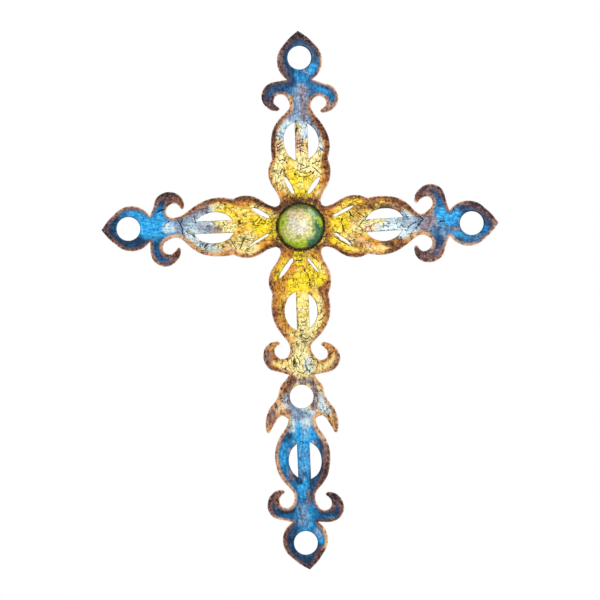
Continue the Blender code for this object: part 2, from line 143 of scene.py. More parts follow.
# The brushwork on the plate: each stroke's reach, its strength and its path. In every table the
# upper arm comes first, then the left, the right and the lower one.
PLATE_STROKES: dict[Paint, tuple[Stroke, ...]] = {
    Paint.AMBER: pulls(
        (9, 0.8, (-16, 33), (-13, 38)), (7, 0.6, (18, 36), (12, 32)), (6, 0.7, (28, 45), (29, 56)),
        (5, 0.6, (24, 50), (25, 68)), (5, 0.5, (-13, 56), (-7, 50)), (8, 0.7, (-30, -13), (-40, -17)),
        (6, 0.7, (-68, 25), (-58, 29)), (6, 0.8, (-86, -25), (-76, -27)), (6, 0.4, (-64, -4), (-74, -5)),
        (6, 0.7, (30, 16), (31, -14)), (5, 0.7, (24, 20), (34, 18)), (7, 0.8, (52, 4), (60, 4)),
        (8, 0.6, (58, 25), (76, 22)), (8, 0.6, (62, -14), (82, -20)), (6, 0.8, (78, -18), (90, -18)),
        (6, 0.9, (31, 9), (31, 0)), (9, 1.0, (-22, -32), (-8, -28)), (7, 0.6, (12, -28), (20, -33)),
        (6, 0.7, (-2, -43), (2, -44)), (9, 0.7, (-24, -64), (-30, -76)), (9, 0.9, (-12, -46), (-19, -60)),
        (7, 0.8, (-20, -84), (-18, -98), (-15, -110)), (5, 0.7, (-8, -124), (-6, -134)),
        (6, 0.5, (26, -186), (34, -200)), (6, 0.4, (-14, -66), (-16, -72)),
    ),
    Paint.LEMON: pulls(
        (11, 0.9, (2, 38), (9, 48), (-4, 55)), (9, 1.0, (-35, 5), (-43, 5)), (9, 0.9, (-30, -4), (-42, -4)),
        (8, 0.8, (-86, 24), (-97, 24)), (9, 0.45, (-50, 2), (-62, 12), (-74, 12)),
        (8, 1.0, (39, 2), (46, 2)), (7, 0.7, (46, 14), (54, 0)), (6, 0.7, (36, -17), (50, -27)),
        (5, 0.6, (44, 26), (66, 28)), (7, 0.9, (-2, -31), (-1, -38)), (8, 0.9, (-24, -38), (-30, -52)),
        (12, 1.0, (6, -58), (-6, -65)), (9, 0.8, (0, -72), (1, -108)), (9, 0.9, (16, -46), (22, -60)),
    ),
    Paint.CREAM: pulls(
        (9, 0.9, (-26, 54), (-24, 75), (-22, 92)), (9, 0.7, (3, 65), (12, 68), (17, 61)),
        (7, 0.4, (8, 44), (2, 46)), (8, 0.8, (18, 74), (24, 92)), (8, 0.9, (1, 72), (2, 82)),
        (5, 0.7, (21, 35), (26, 41)), (5, 0.7, (-15, 41), (-20, 48)), (8, 1.0, (0, 103), (0, 120)),
        (8, 0.9, (-54, -25), (-68, -27)), (5, 0.9, (-39, 12), (-50, 21)), (9, 0.6, (-60, -14), (-76, -20)),
        (9, 0.9, (-80, 2), (-88, 1)), (7, 0.8, (-90, -24), (-100, -24)), (9, 0.6, (62, 1), (74, 0)),
        (5, 0.5, (55, -12), (58, -16)), (8, 1.0, (74, 4), (94, 5)), (6, 0.6, (78, -27), (98, -26)),
        (9, 0.6, (1, -80), (2, -104)), (11, 0.7, (3, -112), (4, -132)), (8, 0.8, (12, -120), (19, -104)),
        (13, 1.0, (-3, -138), (0, -156)), (7, 1.0, (9, -131), (10, -142)), (5, 0.7, (21, -80), (21, -92)),
        (5, 0.6, (21, -42), (25, -50)), (5, 0.5, (-14, -120), (-17, -127)),
        (8, 0.9, (-20, -162), (-12, -166), (12, -166), (20, -162)), (8, 0.8, (-14, -146), (-30, -149)),
        (8, 0.9, (12, -147), (30, -148)), (9, 1.0, (-8, -168), (10, -168), (20, -178), (20, -192)),
        (8, 0.6, (28, -190), (36, -206)),
    ),
    Paint.PEACH: pulls(
        (7, 0.8, (0, 88), (0, 103)), (4, 0.6, (-24, 84), (-22, 94)), (6, 0.7, (-76, -27), (-86, -25)),
        (5, 0.8, (74, -3), (90, -3)), (6, 0.9, (117, -15), (126, -10)), (6, 0.4, (66, -16), (76, -22)),
        (4, 0.7, (216, 4), (221, 2)), (3, 0.6, (168, 23), (182, 26)), (6, 0.3, (9, -134), (8, -143)),
        (7, 0.7, (-24, -140), (-36, -142)), (7, 0.5, (24, -138), (34, -138)),
        (7, 0.7, (16, -164), (24, -176)), (6, 0.8, (-20, -163), (-12, -166)),
        (5, 0.9, (11, -219), (19, -230)), (8, 1.0, (-22, -190), (-34, -198)),
        (6, 0.9, (-18, -205), (-28, -212)), (6, 0.9, (14, -205), (28, -210)),
        (7, 0.6, (-36, -222), (-38, -230)),
    ),
    Paint.AZURE: pulls(
        (34, 1.0, (2, 176), (1, 205)),
        (10, 1.0, (-12, 155), (-24, 156), (-33, 152), (-36, 143), (-30, 134)),
        (11, 1.0, (14, 150), (26, 153), (36, 148), (39, 140), (34, 133)), (34, 1.0, (-184, 0), (-204, 0)),
        (8, 1.0, (-158, 16), (-157, 27)), (9, 1.0, (-157, -13), (-161, -24), (-155, -34), (-145, -36)),
        (34, 1.0, (180, 2), (206, 0)), (9, 1.0, (155, 18), (155, 30), (148, 40), (138, 38)),
        (9, 1.0, (153, -8), (155, -20), (148, -31), (138, -33)), (26, 1.0, (0, -262), (0, -368)),
        (10, 0.8, (-16, -232), (-24, -246), (-22, -268), (-12, -284)),
        (9, 1.0, (10, -226), (18, -236), (24, -250)), (9, 1.0, (-12, -314), (-32, -320)),
        (9, 1.0, (12, -316), (36, -320)),
    ),
    Paint.SKY: pulls(
        (5, 0.7, (-4, 130), (-3, 138)), (7, 0.5, (-6, 166), (2, 163)), (6, 0.7, (20, 184), (16, 174)),
        (5, 0.35, (22, 151), (30, 151)), (18, 1.0, (-148, 2), (-168, 2)), (6, 0.7, (-160, 12), (-168, 12)),
        (6, 1.0, (-152, 6), (-152, 15)), (6, 0.6, (-176, 17), (-188, 19)), (11, 0.7, (158, 12), (168, 8)),
        (6, 0.6, (168, -11), (182, -15)), (14, 1.0, (0, -218), (1, -234)), (9, 0.8, (0, -236), (0, -268)),
        (7, 0.5, (-24, -244), (-23, -262)), (7, 1.0, (-1, -286), (-1, -296)),
        (9, 0.5, (4, -316), (3, -332)), (5, 0.7, (18, -344), (18, -352)),
    ),
    Paint.ICE: pulls(
        (8, 1.0, (-20, 103), (-17, 110), (-11, 118), (-5, 122)), (5, 0.9, (6, 100), (6, 120)),
        (4, 0.6, (24, 86), (23, 98), (20, 106)), (5, 0.5, (-90, 24), (-100, 24)),
        (9, 1.0, (-104, 1), (-130, 2)), (6, 0.9, (-122, 9), (-136, 9)),
        (8, 1.0, (-132, -6), (-122, -9), (-112, -15), (-104, -21)), (5, 0.7, (-104, -22), (-94, -25)),
        (8, 0.8, (-104, 21), (-118, 14)), (7, 0.8, (-142, 2), (-148, 1)), (6, 0.8, (86, -3), (116, -3)),
        (11, 1.0, (104, 3), (128, 1)), (6, 0.9, (116, 12), (132, 9)),
        (5, 0.9, (110, -12), (116, -11), (126, -7)), (6, 0.6, (5, -148), (7, -159)),
        (6, 0.9, (-19, -188), (-16, -198), (-10, -205)), (7, 1.0, (19, -190), (25, -206)),
        (10, 0.9, (-2, -206), (2, -214)), (6, 0.8, (-13, -217), (-14, -225)),
        (6, 0.3, (3, -220), (2, -233)), (6, 0.7, (8, -208), (12, -217)),
    ),
    Paint.LILAC: pulls(
        (5, 0.7, (20, 102), (17, 112), (10, 120)), (10, 1.0, (3, 124), (3, 150)),
        (7, 0.8, (-9, 124), (-4, 132)), (5, 0.5, (-98, -1), (-112, -1)), (7, 0.5, (-117, 4), (-128, 5)),
        (5, 0.6, (-124, 12), (-112, 18), (-102, 19)), (6, 0.9, (-135, -6), (-136, 6)),
        (4, 0.7, (98, 19), (106, 16), (115, 9)), (8, 0.6, (118, 2), (130, 2)),
        (11, 0.95, (137, 4), (145, 1)), (5, 0.8, (158, -10), (163, -13)),
        (4, 0.3, (-29, -200), (-27, -203)), (8, 0.7, (-12, -196), (-8, -210)),
        (7, 0.5, (-6, -209), (4, -211)), (8, 0.35, (0, -250), (0, -276)), (8, 0.55, (-2, -312), (-1, -330)),
        (5, 0.7, (15, -338), (17, -343)),
    ),
    Paint.NAVY: pulls(
        (10, 0.9, (-16, 178), (-18, 192), (-11, 204), (0, 211), (10, 208)),
        (6, 0.8, (-12, 182), (-9, 170), (-8, 160)), (6, 0.4, (12, 146), (10, 158)),
        (5, 0.8, (12, 204), (18, 194), (16, 187)), (5, 0.7, (24, 180), (24, 196)),
        (8, 0.9, (-20, 158), (-32, 154), (-37, 146), (-33, 136)), (4, 0.5, (28, 157), (38, 152), (42, 142)),
        (8, 0.9, (-180, -16), (-190, -18), (-203, -15), (-210, -6)),
        (6, 0.7, (-206, 12), (-212, 4), (-213, -2)), (7, 0.8, (-158, 31), (-150, 34), (-142, 34)),
        (5, 0.6, (-159, -12), (-162, -24), (-157, -34)), (6, 0.8, (155, 34), (149, 39), (140, 40)),
        (5, 0.8, (155, -14), (153, -23), (146, -32)), (5, 0.5, (146, -5), (153, -6)),
        (9, 1.0, (185, 19), (196, 18), (206, 11), (213, 1)), (5, 0.5, (176, -14), (190, -18)),
        (5, 0.5, (-18, -236), (-15, -231)), (5, 0.8, (-10, -278), (-6, -284)),
        (8, 0.7, (23, -244), (24, -264), (17, -278), (10, -286)), (6, 0.6, (7, -294), (7, -302)),
        (8, 0.9, (-18, -314), (-30, -316), (-41, -309), (-38, -301)),
        (9, 1.0, (22, -314), (34, -315), (38, -309), (33, -302)),
        (8, 0.8, (-15, -340), (-17, -352), (-9, -366), (4, -372)), (7, 0.8, (12, -364), (18, -358)),
    ),
    Paint.MAUVE: pulls(
        (4, 0.6, (5, 121), (5, 134), (4, 154)), (3, 0.5, (-4, 92), (-3, 106)),
        (5, 0.5, (-20, 199), (-21, 186), (-16, 172)), (6, 0.6, (-91, -3), (-98, -3)),
        (5, 0.35, (-104, 2), (-112, 0)), (5, 0.6, (-120, 17), (-106, 22)), (5, 0.5, (-154, 38), (-144, 39)),
        (4, 0.5, (-180, 24), (-192, 23)), (6, 0.6, (157, 38), (148, 44), (140, 43)),
        (6, 0.6, (156, -28), (148, -37), (140, -36)), (3, 0.6, (163, -4), (178, -4)),
        (7, 0.6, (136, -3), (142, 1), (146, 8)), (5, 0.5, (100, 22), (112, 18)),
        (7, 0.7, (-40, -140), (-40, -152)), (7, 0.7, (44, -140), (40, -154), (34, -158)),
        (4, 0.9, (11, -176), (15, -188), (12, -202)), (6, 0.6, (-15, -174), (-17, -186), (-15, -194)),
        (5, 0.8, (-10, -171), (0, -173), (8, -171)), (6, 0.8, (-35, -208), (-37, -218)),
        (6, 0.6, (38, -206), (38, -222)), (5, 0.6, (24, -242), (26, -262)),
        (4, 0.6, (-16, -273), (-14, -280)), (4, 0.5, (4, -296), (5, -308)),
        (8, 1.0, (-43, -304), (-34, -296)), (6, 0.7, (44, -304), (38, -294)),
    ),
    Paint.RUST: pulls(
        (6, 0.7, (-22, 28), (-17, 26)), (4, 0.7, (-8, 29), (0, 30), (10, 29)), (6, 0.7, (22, 29), (18, 26)),
        (6, 0.7, (-27, 23), (-25, 18)), (6, 0.7, (-26, -20), (-24, -24)), (5, 0.8, (92, 20), (108, 18)),
        (5, 0.4, (58, 23), (66, 21)), (6, 0.7, (96, -20), (109, -18)), (6, 0.5, (76, 22), (84, 21)),
        (5, 0.6, (62, -21), (67, -23)), (5, 0.6, (26, 23), (25, 19)), (5, 0.5, (26, -20), (24, -23)),
        (7, 0.9, (24, -71), (31, -67)), (6, 0.7, (-12, -170), (-20, -177), (-24, -188)),
        (4, 0.5, (-18, -205), (-14, -207)), (5, 0.4, (-21, -25), (-17, -23)),
        (5, 0.5, (21, -25), (17, -23)),
    ),
    Paint.SOOT: pulls(
        (7, 0.9, (-22, 27), (-10, 30), (0, 31), (10, 30), (22, 27)),
        (6, 0.9, (-26, 22), (-30, 10), (-30, -8), (-26, -21)), (7, 0.5, (-66, -14), (-76, -18)),
        (6, 0.9, (-90, -20), (-102, -18)), (6, 0.8, (26, 22), (30, 10), (30, -8), (26, -21)),
        (7, 0.9, (76, 24), (98, 25)), (7, 0.4, (56, 18), (66, 14)), (6, 0.5, (54, 6), (64, 4)),
        (6, 0.8, (-21, -26), (-10, -30), (0, -31), (10, -30), (21, -26)), (7, 0.4, (10, -60), (16, -68)),
        (7, 0.7, (-26, -52), (-34, -62)), (5, 0.6, (-19, -88), (-18, -104)), (6, 0.8, (0, -122), (8, -130)),
        (7, 0.5, (30, -194), (38, -214)),
    ),
}

# The burnt rims: the middle of each stretch, its spread, its depth and its shade.
BURNS = tuple(Burn(*row) for row in (
    ((-22, 40), 9, 1.8, 0.12), ((-33, 62), 15, 2.8, 0.3), ((-30, 96), 19, 4.8, 0.72),
    ((-19, 122), 11, 4.6, 0.42), ((-8, 141), 11, 3.6, 0.12), ((-22, 152), 7, 2.4, 0.4),
    ((-38, 146), 12, 4.0, 0.82), ((-24, 160), 10, 2.6, 0.75), ((-22, 132), 8, 9.5, 0.9),
    ((-10, 163), 6, 2.6, 0.65), ((-22, 186), 14, 4.6, 0.66), ((-12, 207), 10, 5.0, 0.85),
    ((1, 218), 9, 7.0, 0.95), ((9, 213), 7, 7.0, 0.95), ((15, 206), 10, 3.4, 0.8),
    ((26, 190), 12, 2.2, 0.35), ((18, 168), 9, 1.8, 0.5), ((26, 160), 10, 1.8, 0.3),
    ((43, 147), 12, 2.8, 0.4), ((29, 130), 9, 6.5, 0.4), ((14, 142), 10, 2.8, 0.3),
    ((14, 126), 8, 4.0, 0.45), ((27, 110), 16, 8.0, 0.7), ((34, 88), 12, 5.0, 0.55),
    ((32, 60), 13, 5.8, 0.58), ((26, 42), 9, 2.6, 0.3), ((-34, 27), 9, 3.6, 0.8),
    ((-55, 34), 15, 5.6, 0.64), ((-75, 30), 8, 5.0, 0.6), ((-92, 32), 15, 5.0, 0.64),
    ((-112, 25), 12, 4.8, 0.5), ((-127, 14), 9, 3.6, 0.5), ((-141, 12), 7, 2.2, 0.25),
    ((-156, 19), 5, 1.0, 0.3), ((-152, 26), 5, 1.6, 0.25), ((-150, 39), 14, 7.0, 0.82),
    ((-134, 30), 10, 9.0, 0.6), ((-165, 17), 6, 1.6, 0.35), ((-192, 25), 13, 2.8, 0.42),
    ((-212, 12), 9, 3.6, 0.6), ((-221, 1), 7, 6.0, 0.92), ((-208, -15), 9, 4.2, 0.7),
    ((-190, -24), 11, 3.2, 0.66), ((-172, -15), 7, 2.8, 0.75), ((-166, -24), 8, 3.0, 0.5),
    ((-154, -38), 9, 4.0, 0.66), ((-137, -28), 10, 9.0, 0.66), ((-152, -20), 7, 3.4, 0.2),
    ((-138, -8), 9, 3.8, 0.12), ((-120, -19), 14, 4.2, 0.26), ((-96, -31), 14, 4.0, 0.26),
    ((-77, -29), 8, 4.0, 0.34), ((-58, -33), 13, 3.2, 0.4), ((-38, -25), 9, 3.8, 0.74),
    ((34, 24), 8, 3.6, 0.55), ((58, 33), 13, 2.8, 0.36), ((77, 28), 7, 5.5, 0.58),
    ((92, 31), 10, 3.6, 0.48), ((108, 28), 11, 7.4, 0.62), ((122, 18), 9, 4.8, 0.55),
    ((138, 14), 8, 3.0, 0.42), ((147, 27), 7, 2.4, 0.05), ((154, 44), 13, 4.4, 0.66),
    ((138, 46), 9, 5.0, 0.68), ((131, 33), 9, 8.0, 0.7), ((160, 32), 9, 4.0, 0.7), ((175, 22), 7, 1.4, 0.3),
    ((193, 26), 12, 6.4, 0.86), ((208, 14), 10, 6.8, 0.86), ((221, 2), 6, 4.4, 0.32),
    ((206, -15), 12, 2.2, 0.42), ((180, -21), 15, 2.2, 0.25), ((162, -17), 9, 2.4, 0.3),
    ((147, -39), 12, 5.0, 0.62), ((132, -27), 9, 8.4, 0.9), ((146, -20), 7, 2.8, 0.3),
    ((134, -9), 8, 3.0, 0.2), ((123, -13), 8, 4.4, 0.2), ((107, -23), 9, 7.4, 0.7),
    ((90, -31), 11, 3.0, 0.3), ((76, -31), 6, 1.4, 0.1), ((60, -33), 12, 4.4, 0.6),
    ((40, -27), 8, 4.2, 0.55), ((-30, -42), 10, 2.6, 0.35), ((-35, -62), 10, 4.6, 0.5),
    ((-30, -78), 8, 3.6, 0.45), ((-32, -94), 11, 7.4, 0.7), ((-32, -82), 6, 3.6, 0.4),
    ((-24, -112), 11, 6.2, 0.42), ((-13, -127), 9, 2.6, 0.12), ((24, -38), 10, 2.2, 0.3),
    ((34, -56), 9, 2.8, 0.35), ((31, -71), 8, 9.0, 0.7), ((31, -94), 12, 6.2, 0.46),
    ((24, -112), 9, 3.4, 0.38), ((12, -126), 7, 1.4, 0.5), ((9, -142), 6, 1.0, 0.1),
    ((12, -154), 5, 1.0, 0.15), ((-12, -150), 6, 1.0, 0.15), ((-42, -146), 10, 4.6, 0.55),
    ((-29, -131), 7, 5.0, 0.36), ((-34, -158), 8, 5.0, 0.6), ((-22, -154), 5, 1.0, 0.2),
    ((-22, -140), 7, 1.2, 0.1), ((-22, -166), 6, 1.4, 0.15), ((22, -166), 6, 1.4, 0.15),
    ((-13, -160), 6, 1.2, 0.25), ((42, -144), 11, 4.4, 0.42), ((25, -132), 8, 4.0, 0.2),
    ((28, -160), 9, 3.0, 0.4), ((13, -162), 6, 1.2, 0.25), ((-24, -175), 12, 4.6, 0.4),
    ((-17, -164), 7, 0.6, 0.0), ((24, -176), 12, 2.0, 0.2), ((-38, -206), 12, 2.8, 0.4),
    ((-38, -228), 8, 3.6, 0.25), ((-31, -195), 9, 1.0, 0.05), ((-17, -214), 8, 1.4, 0.05),
    ((38, -206), 12, 2.4, 0.25), ((37, -226), 8, 3.4, 0.3), ((28, -216), 8, 2.2, 0.15),
    ((16, -218), 8, 3.0, 0.05), ((-24, -232), 10, 2.8, 0.3), ((-31, -252), 13, 3.2, 0.2),
    ((-26, -276), 11, 4.0, 0.34), ((-12, -294), 10, 2.4, 0.05), ((17, -230), 8, 4.6, 0.05),
    ((30, -258), 15, 6.6, 0.68), ((25, -241), 7, 4.0, 0.35), ((23, -281), 11, 5.4, 0.8),
    ((12, -298), 8, 2.8, 0.6), ((-15, -306), 6, 2.6, 0.2), ((-40, -306), 11, 5.6, 0.8),
    ((-27, -297), 8, 7.0, 0.6), ((-28, -324), 10, 2.0, 0.3), ((38, -300), 13, 7.4, 0.92),
    ((20, -312), 8, 1.4, 0.35), ((28, -328), 10, 2.6, 0.75), ((46, -312), 7, 3.6, 0.6),
    ((-22, -352), 14, 4.4, 0.72), ((-9, -373), 9, 2.6, 0.6), ((5, -381), 6, 4.2, 0.9),
    ((24, -342), 8, 3.0, 0.0), ((23, -353), 6, 2.2, 0.0), ((17, -368), 9, 7.0, 0.9),
))

# The bold cracks: the width of each and its path.
CRACKS = tuple(Crack(width, tuple(path)) for width, *path in (
    (0.8, (-25, 88), (-18, 92)), (0.7, (-25, 85), (-19, 88)), (0.6, (-24, 92), (-18, 96)),
    (1.2, (21, 89), (24, 86), (27, 83)), (0.9, (14, 66), (18, 63), (23, 58)),
    (0.6, (14, 70), (18, 72), (22, 73)), (0.8, (-22, 74), (-19, 75), (-15, 72)), (0.8, (-1, 70), (4, 68)),
    (0.7, (1, 64), (5, 65), (10, 67)), (0.6, (0, 61), (6, 59), (12, 61)),
    (0.6, (-6, 59), (-2, 56), (5, 55), (11, 57), (15, 60)), (0.7, (-20, 64), (-22, 59)),
    (0.7, (-3, 92), (4, 93)), (0.6, (-3, 88), (1, 89), (4, 90)), (0.6, (-2, 96), (4, 97)),
    (0.7, (0, 85), (3, 84), (6, 82)), (0.7, (-4, 101), (-3, 110), (-4, 118)),
    (1.2, (-137, 8), (-134, 4), (-132, -1), (-132, -6)), (0.8, (-132, 10), (-134, 5)),
    (0.9, (-128, -4), (-122, -7), (-116, -11), (-110, -16)), (1.7, (-108, -22), (-104, -18)),
    (1.8, (-160, 18), (-156, 20), (-152, 21)), (0.6, (-153, 2), (-150, 6), (-147, 8)),
    (0.7, (-79, -13), (-76, -18), (-72, -24)), (1.0, (-64, -15), (-66, -19), (-68, -24)),
    (0.9, (-119, 12), (-117, 6)), (0.8, (-86, 6), (-85, 3)), (0.6, (-50, 7), (-46, 11)),
    (0.6, (-48, 4), (-44, 8)), (0.6, (-60, -31), (-63, -27), (-60, -24)),
    (1.6, (132, 10), (135, 7), (137, 6)), (0.9, (136, 6), (133, 2), (129, -3)), (1.2, (169, 20), (172, 15)),
    (1.3, (155, 3), (158, 4), (161, 3)), (0.9, (66, 2), (69, 5), (72, 7)), (0.9, (66, -1), (69, -4)),
    (1.6, (54, 17), (56, 12), (59, 10)), (0.6, (48, -6), (47, 0), (45, 4), (46, 8)),
    (0.7, (62, 16), (66, 13), (70, 10)), (0.6, (98, 8), (105, 8), (112, 8)),
    (1.0, (38, -12), (45, -17), (53, -22)), (0.6, (120, -2), (124, 1), (128, 3)),
    (1.2, (-9.9, -147), (-10.3, -151), (-9.9, -156)), (1.2, (-9, -146), (-9.3, -151), (-8.9, -157)),
    (1.2, (-8.2, -148), (-8.3, -152), (-8, -156)), (0.9, (-7, -144), (-4, -149), (-3, -154)),
    (0.6, (-13, -147), (-12, -150)), (1.0, (0, -107), (3, -106), (5, -104)),
    (0.8, (-1, -126), (2, -124), (4, -126), (8, -123), (11, -124)), (0.7, (0, -129), (5, -128)),
    (0.6, (-3, -122), (2, -120)), (0.8, (-5, -162), (-2, -163), (0, -164), (3, -161), (7, -160)),
    (0.9, (-2, -44), (2, -44)), (0.8, (-5, -38), (-1, -38)), (0.6, (3, -49), (7, -53), (9, -60)),
    (0.8, (19, -105), (23, -103)), (1.2, (-18, -104), (-15, -108), (-13, -112)),
    (0.8, (12, -33), (16, -36), (19, -39)), (0.8, (-5, -239), (0, -241)),
))

# The brushwork on the dome. The cream and the palest colour over its middle are pale paint with a painted
# highlight on it.
DOME_STROKES: dict[Paint, tuple[Stroke, ...]] = {
    Paint.OLIVE: pulls(
        (8, 0.9, (-19, 16), (-13, 21), (-2, 24), (9, 23)), (5, 0.8, (-23, -10), (-17, -19), (-12, -22)),
        (6, 1.0, (5, -22), (14, -19), (22, -12)),
    ),
    Paint.TEAL: pulls(
        (8, 1.0, (18, 2), (18, -7), (14, -13), (10, -18)), (5, 0.8, (17, 17), (21, 11), (18, 5)),
    ),
    Paint.LIME: pulls(
        (6, 1.0, (-14, -13), (-5, -18), (2, -18)), (6, 0.9, (-19, 10), (-20, 0), (-19, -6)),
        (3, 0.9, (20, 8), (21, 5), (22, 2)),
    ),
    Paint.MINT: pulls((3.5, 0.8, (10, 17), (14, 13), (16, 9))),
    Paint.CREAM: pulls((10, 0.9, (-8, 10), (0, 10), (6, 7)), (9, 0.9, (-13, -5), (-4, -8), (8, -5))),
    Paint.PEACH: pulls((6, 0.6, (-10, 12), (-3, 14), (4, 11))),
    # The palest patch, just left of the middle: a painted highlight over the pale paint.
    Paint.PEARL_AND_HIGHLIGHT: pulls((8, 1.0, (-7, 4), (-4, -2), (1, -1))),
}


def falling(value: np.ndarray, near: float, far: float) -> np.ndarray:
    """Goes smoothly from 1, where the value is at most near, to 0, where it is at least far."""
    t = np.clip((far - value) / (far - near), 0.0, 1.0)
    return t * t * (3 - 2 * t)


def distance_to_path(points: np.ndarray, path: Sequence[Place]) -> np.ndarray:
    """Measures how far points are from an open line.

    Args:
        points: The points, one to a row.
        path: The line's corners.

    Returns:
        Each point's distance from the nearest place of the line.
    """
    corners = np.array(path, dtype=float)
    best = np.full(len(points), np.inf)
    for start, end in zip(corners[:-1], corners[1:]):
        run = end - start
        share = np.clip(((points - start) @ run) / (run @ run), 0.0, 1.0)
        best = np.minimum(best, np.hypot(*(points - start - share[:, None] * run).T))
    return best


def fractal(points: np.ndarray, wavelength: float, seed: float, octaves: int = 2) -> np.ndarray:
    """Gives smooth, repeatable unevenness at points.

    Args:
        points: The points, in millimetres, one to a row.
        wavelength: The rough distance between two swells, in millimetres.
        seed: Which of many such patterns it is.
        octaves: How many finer copies are laid over each other.

    Returns:
        A value from about -1 to 1 for each point.
    """
    return np.array([
        perlin.fractal((x / wavelength, y / wavelength, seed), 1.0, 2.0, octaves)
        for x, y in points
    ])


def brushed(points: np.ndarray, strokes: dict[Paint, tuple[Stroke, ...]]) -> dict[str, np.ndarray]:
    """Works out how much of each colour the brush left.

    Args:
        points: The points, in millimetres, one to a row.
        strokes: Each colour's strokes.

    Returns:
        Each colour's cover at the points, from 0 to 1, by its layer's name.
    """
    full, gone = 0.25, 1.45
    layers = {}
    for paint, pulled in strokes.items():
        bare = np.ones(len(points))
        for stroke in pulled:
            away = distance_to_path(points, stroke.path)
            bare *= 1 - stroke.strength * falling(away, full * stroke.reach, gone * stroke.reach)
        layers[paint.value] = 1 - bare
    return layers


# Lines, points and triangles, seen from the front and in millimetres: across and up, one to a row.


def turns(count: int) -> np.ndarray:
    """Gives evenly spaced angles once around, in radians."""
    return np.linspace(0, math.tau, count, endpoint=False)


def circle(count: int) -> np.ndarray:
    """Gives evenly spaced points on a circle of radius 1."""
    return np.column_stack([np.cos(turns(count)), np.sin(turns(count))])


def ring_pairs(counts: Iterable[int]) -> Iterator[tuple[int, int]]:
    """Numbers the points of closed lines on from 0, and goes from neighbour to neighbour.

    Args:
        counts: How many points each line has.

    Yields:
        The numbers of two neighbouring points.
    """
    first = 0
    for count in counts:
        for i in range(count):
            yield first + i, first + (i + 1) % count
        first += count


def edges_of(loops: Sequence[np.ndarray]) -> tuple[np.ndarray, np.ndarray]:
    """Gives the starts and the ends of all edges of closed lines."""
    return np.vstack(loops), np.vstack([np.roll(loop, -1, axis=0) for loop in loops])


def crossings(starts: np.ndarray, ends: np.ndarray, level: float) -> np.ndarray:
    """Finds where edges cross a level.

    Args:
        starts: The edges' starts.
        ends: Their ends.
        level: The level.

    Returns:
        The places along the level, from left to right.
    """
    crossed = (starts[:, 1] > level) != (ends[:, 1] > level)
    a, b = starts[crossed], ends[crossed]
    return np.sort(a[:, 0] + (level - a[:, 1]) / (b[:, 1] - a[:, 1]) * (b[:, 0] - a[:, 0]))


def resampled(line: np.ndarray, step: float, least: int, more: int = 0) -> np.ndarray:
    """Picks evenly spaced points from an open line.

    Args:
        line: The line's points.
        step: The distance that is wanted between two points.
        least: The fewest points.
        more: How many points are added to their number.

    Returns:
        The points, with both ends of the line.
    """
    travelled = np.concatenate([[0.0], np.cumsum(np.hypot(*np.diff(line, axis=0).T))])
    marks = np.linspace(0.0, travelled[-1], max(least, round(travelled[-1] / step)) + more)
    return np.column_stack([np.interp(marks, travelled, line[:, axis]) for axis in (0, 1)])


def tree_of(points: np.ndarray) -> kdtree.KDTree:
    """Sorts points so that the nearest one is found quickly.

    Args:
        points: The points.

    Returns:
        The sorted points, each at height 0.
    """
    tree = kdtree.KDTree(len(points))
    for number, (x, y) in enumerate(points):
        tree.insert((x, y, 0.0), number)
    tree.balance()
    return tree


def distance_to_loops(points: np.ndarray, loops: Sequence[np.ndarray]) -> np.ndarray:
    """Measures how far points are from the nearest of some closed lines.

    Args:
        points: The points.
        loops: The closed lines, with close points.

    Returns:
        Each point's distance.
    """
    starts, ends = edges_of(loops)
    before = np.zeros(len(starts), dtype=int)
    for a, b in ring_pairs(map(len, loops)):
        before[b] = a
    tree = tree_of(starts)
    nearest = np.array([tree.find((x, y, 0.0))[1] for x, y in points])
    best = np.full(len(points), np.inf)
    for segment in (nearest, before[nearest]):
        run = ends[segment] - starts[segment]
        offset = points - starts[segment]
        share = np.clip((offset * run).sum(axis=1) / (run * run).sum(axis=1), 0.0, 1.0)
        best = np.minimum(best, np.hypot(*(offset - share[:, None] * run).T))
    return best


def inward(loop: np.ndarray, depth: float) -> np.ndarray:
    """Moves a closed line's points into the steel on its left.

    Args:
        loop: The line.
        depth: How far they move, square to the line.

    Returns:
        The moved points.
    """
    run = np.roll(loop, -1, axis=0) - np.roll(loop, 1, axis=0)
    run /= np.maximum(np.hypot(*run.T), 1e-9)[:, None]
    return loop + depth * np.column_stack([-run[:, 1], run[:, 0]])


def filled(loops: Sequence[np.ndarray], inner: np.ndarray) -> tuple[np.ndarray, list[tuple[int, ...]]]:
    """Fills the area between closed lines with triangles.

    Args:
        loops: The outer line and the openings' lines.
        inner: Further points inside the area.

    Returns:
        All points, the lines' points first, and the triangles, which face -Y.
    """
    points = np.vstack([*loops, inner])
    edges = list(ring_pairs(map(len, loops)))
    result = delaunay_2d_cdt([Vector(p) for p in points], edges, [], 1, 1e-5)
    origin = [found[0] for found in result[3]]
    triangles = [tuple(origin[i] for i in triangle) for triangle in result[2]]
    centres = points[np.array(triangles)].mean(axis=1)
    starts, ends = edges_of(loops)
    return points, [
        facing_front(points, triangle) for triangle, (x, y) in zip(triangles, centres)
        if max(triangle) >= len(edges) or (crossings(starts, ends, y) > x).sum() % 2
    ]


def facing_front(points: np.ndarray, triangle: tuple[int, ...]) -> tuple[int, ...]:
    """Orders a triangle's points so that it faces -Y."""
    (ax, az), (bx, bz), (cx, cz) = points[list(triangle)]
    return triangle if (bx - ax) * (cz - az) > (bz - az) * (cx - ax) else triangle[::-1]


def standing(points: np.ndarray, y: np.ndarray | float) -> np.ndarray:
    """Stands points, seen from the front, at places along Y."""
    return np.column_stack([points[:, 0], np.broadcast_to(y, len(points)), points[:, 1]])


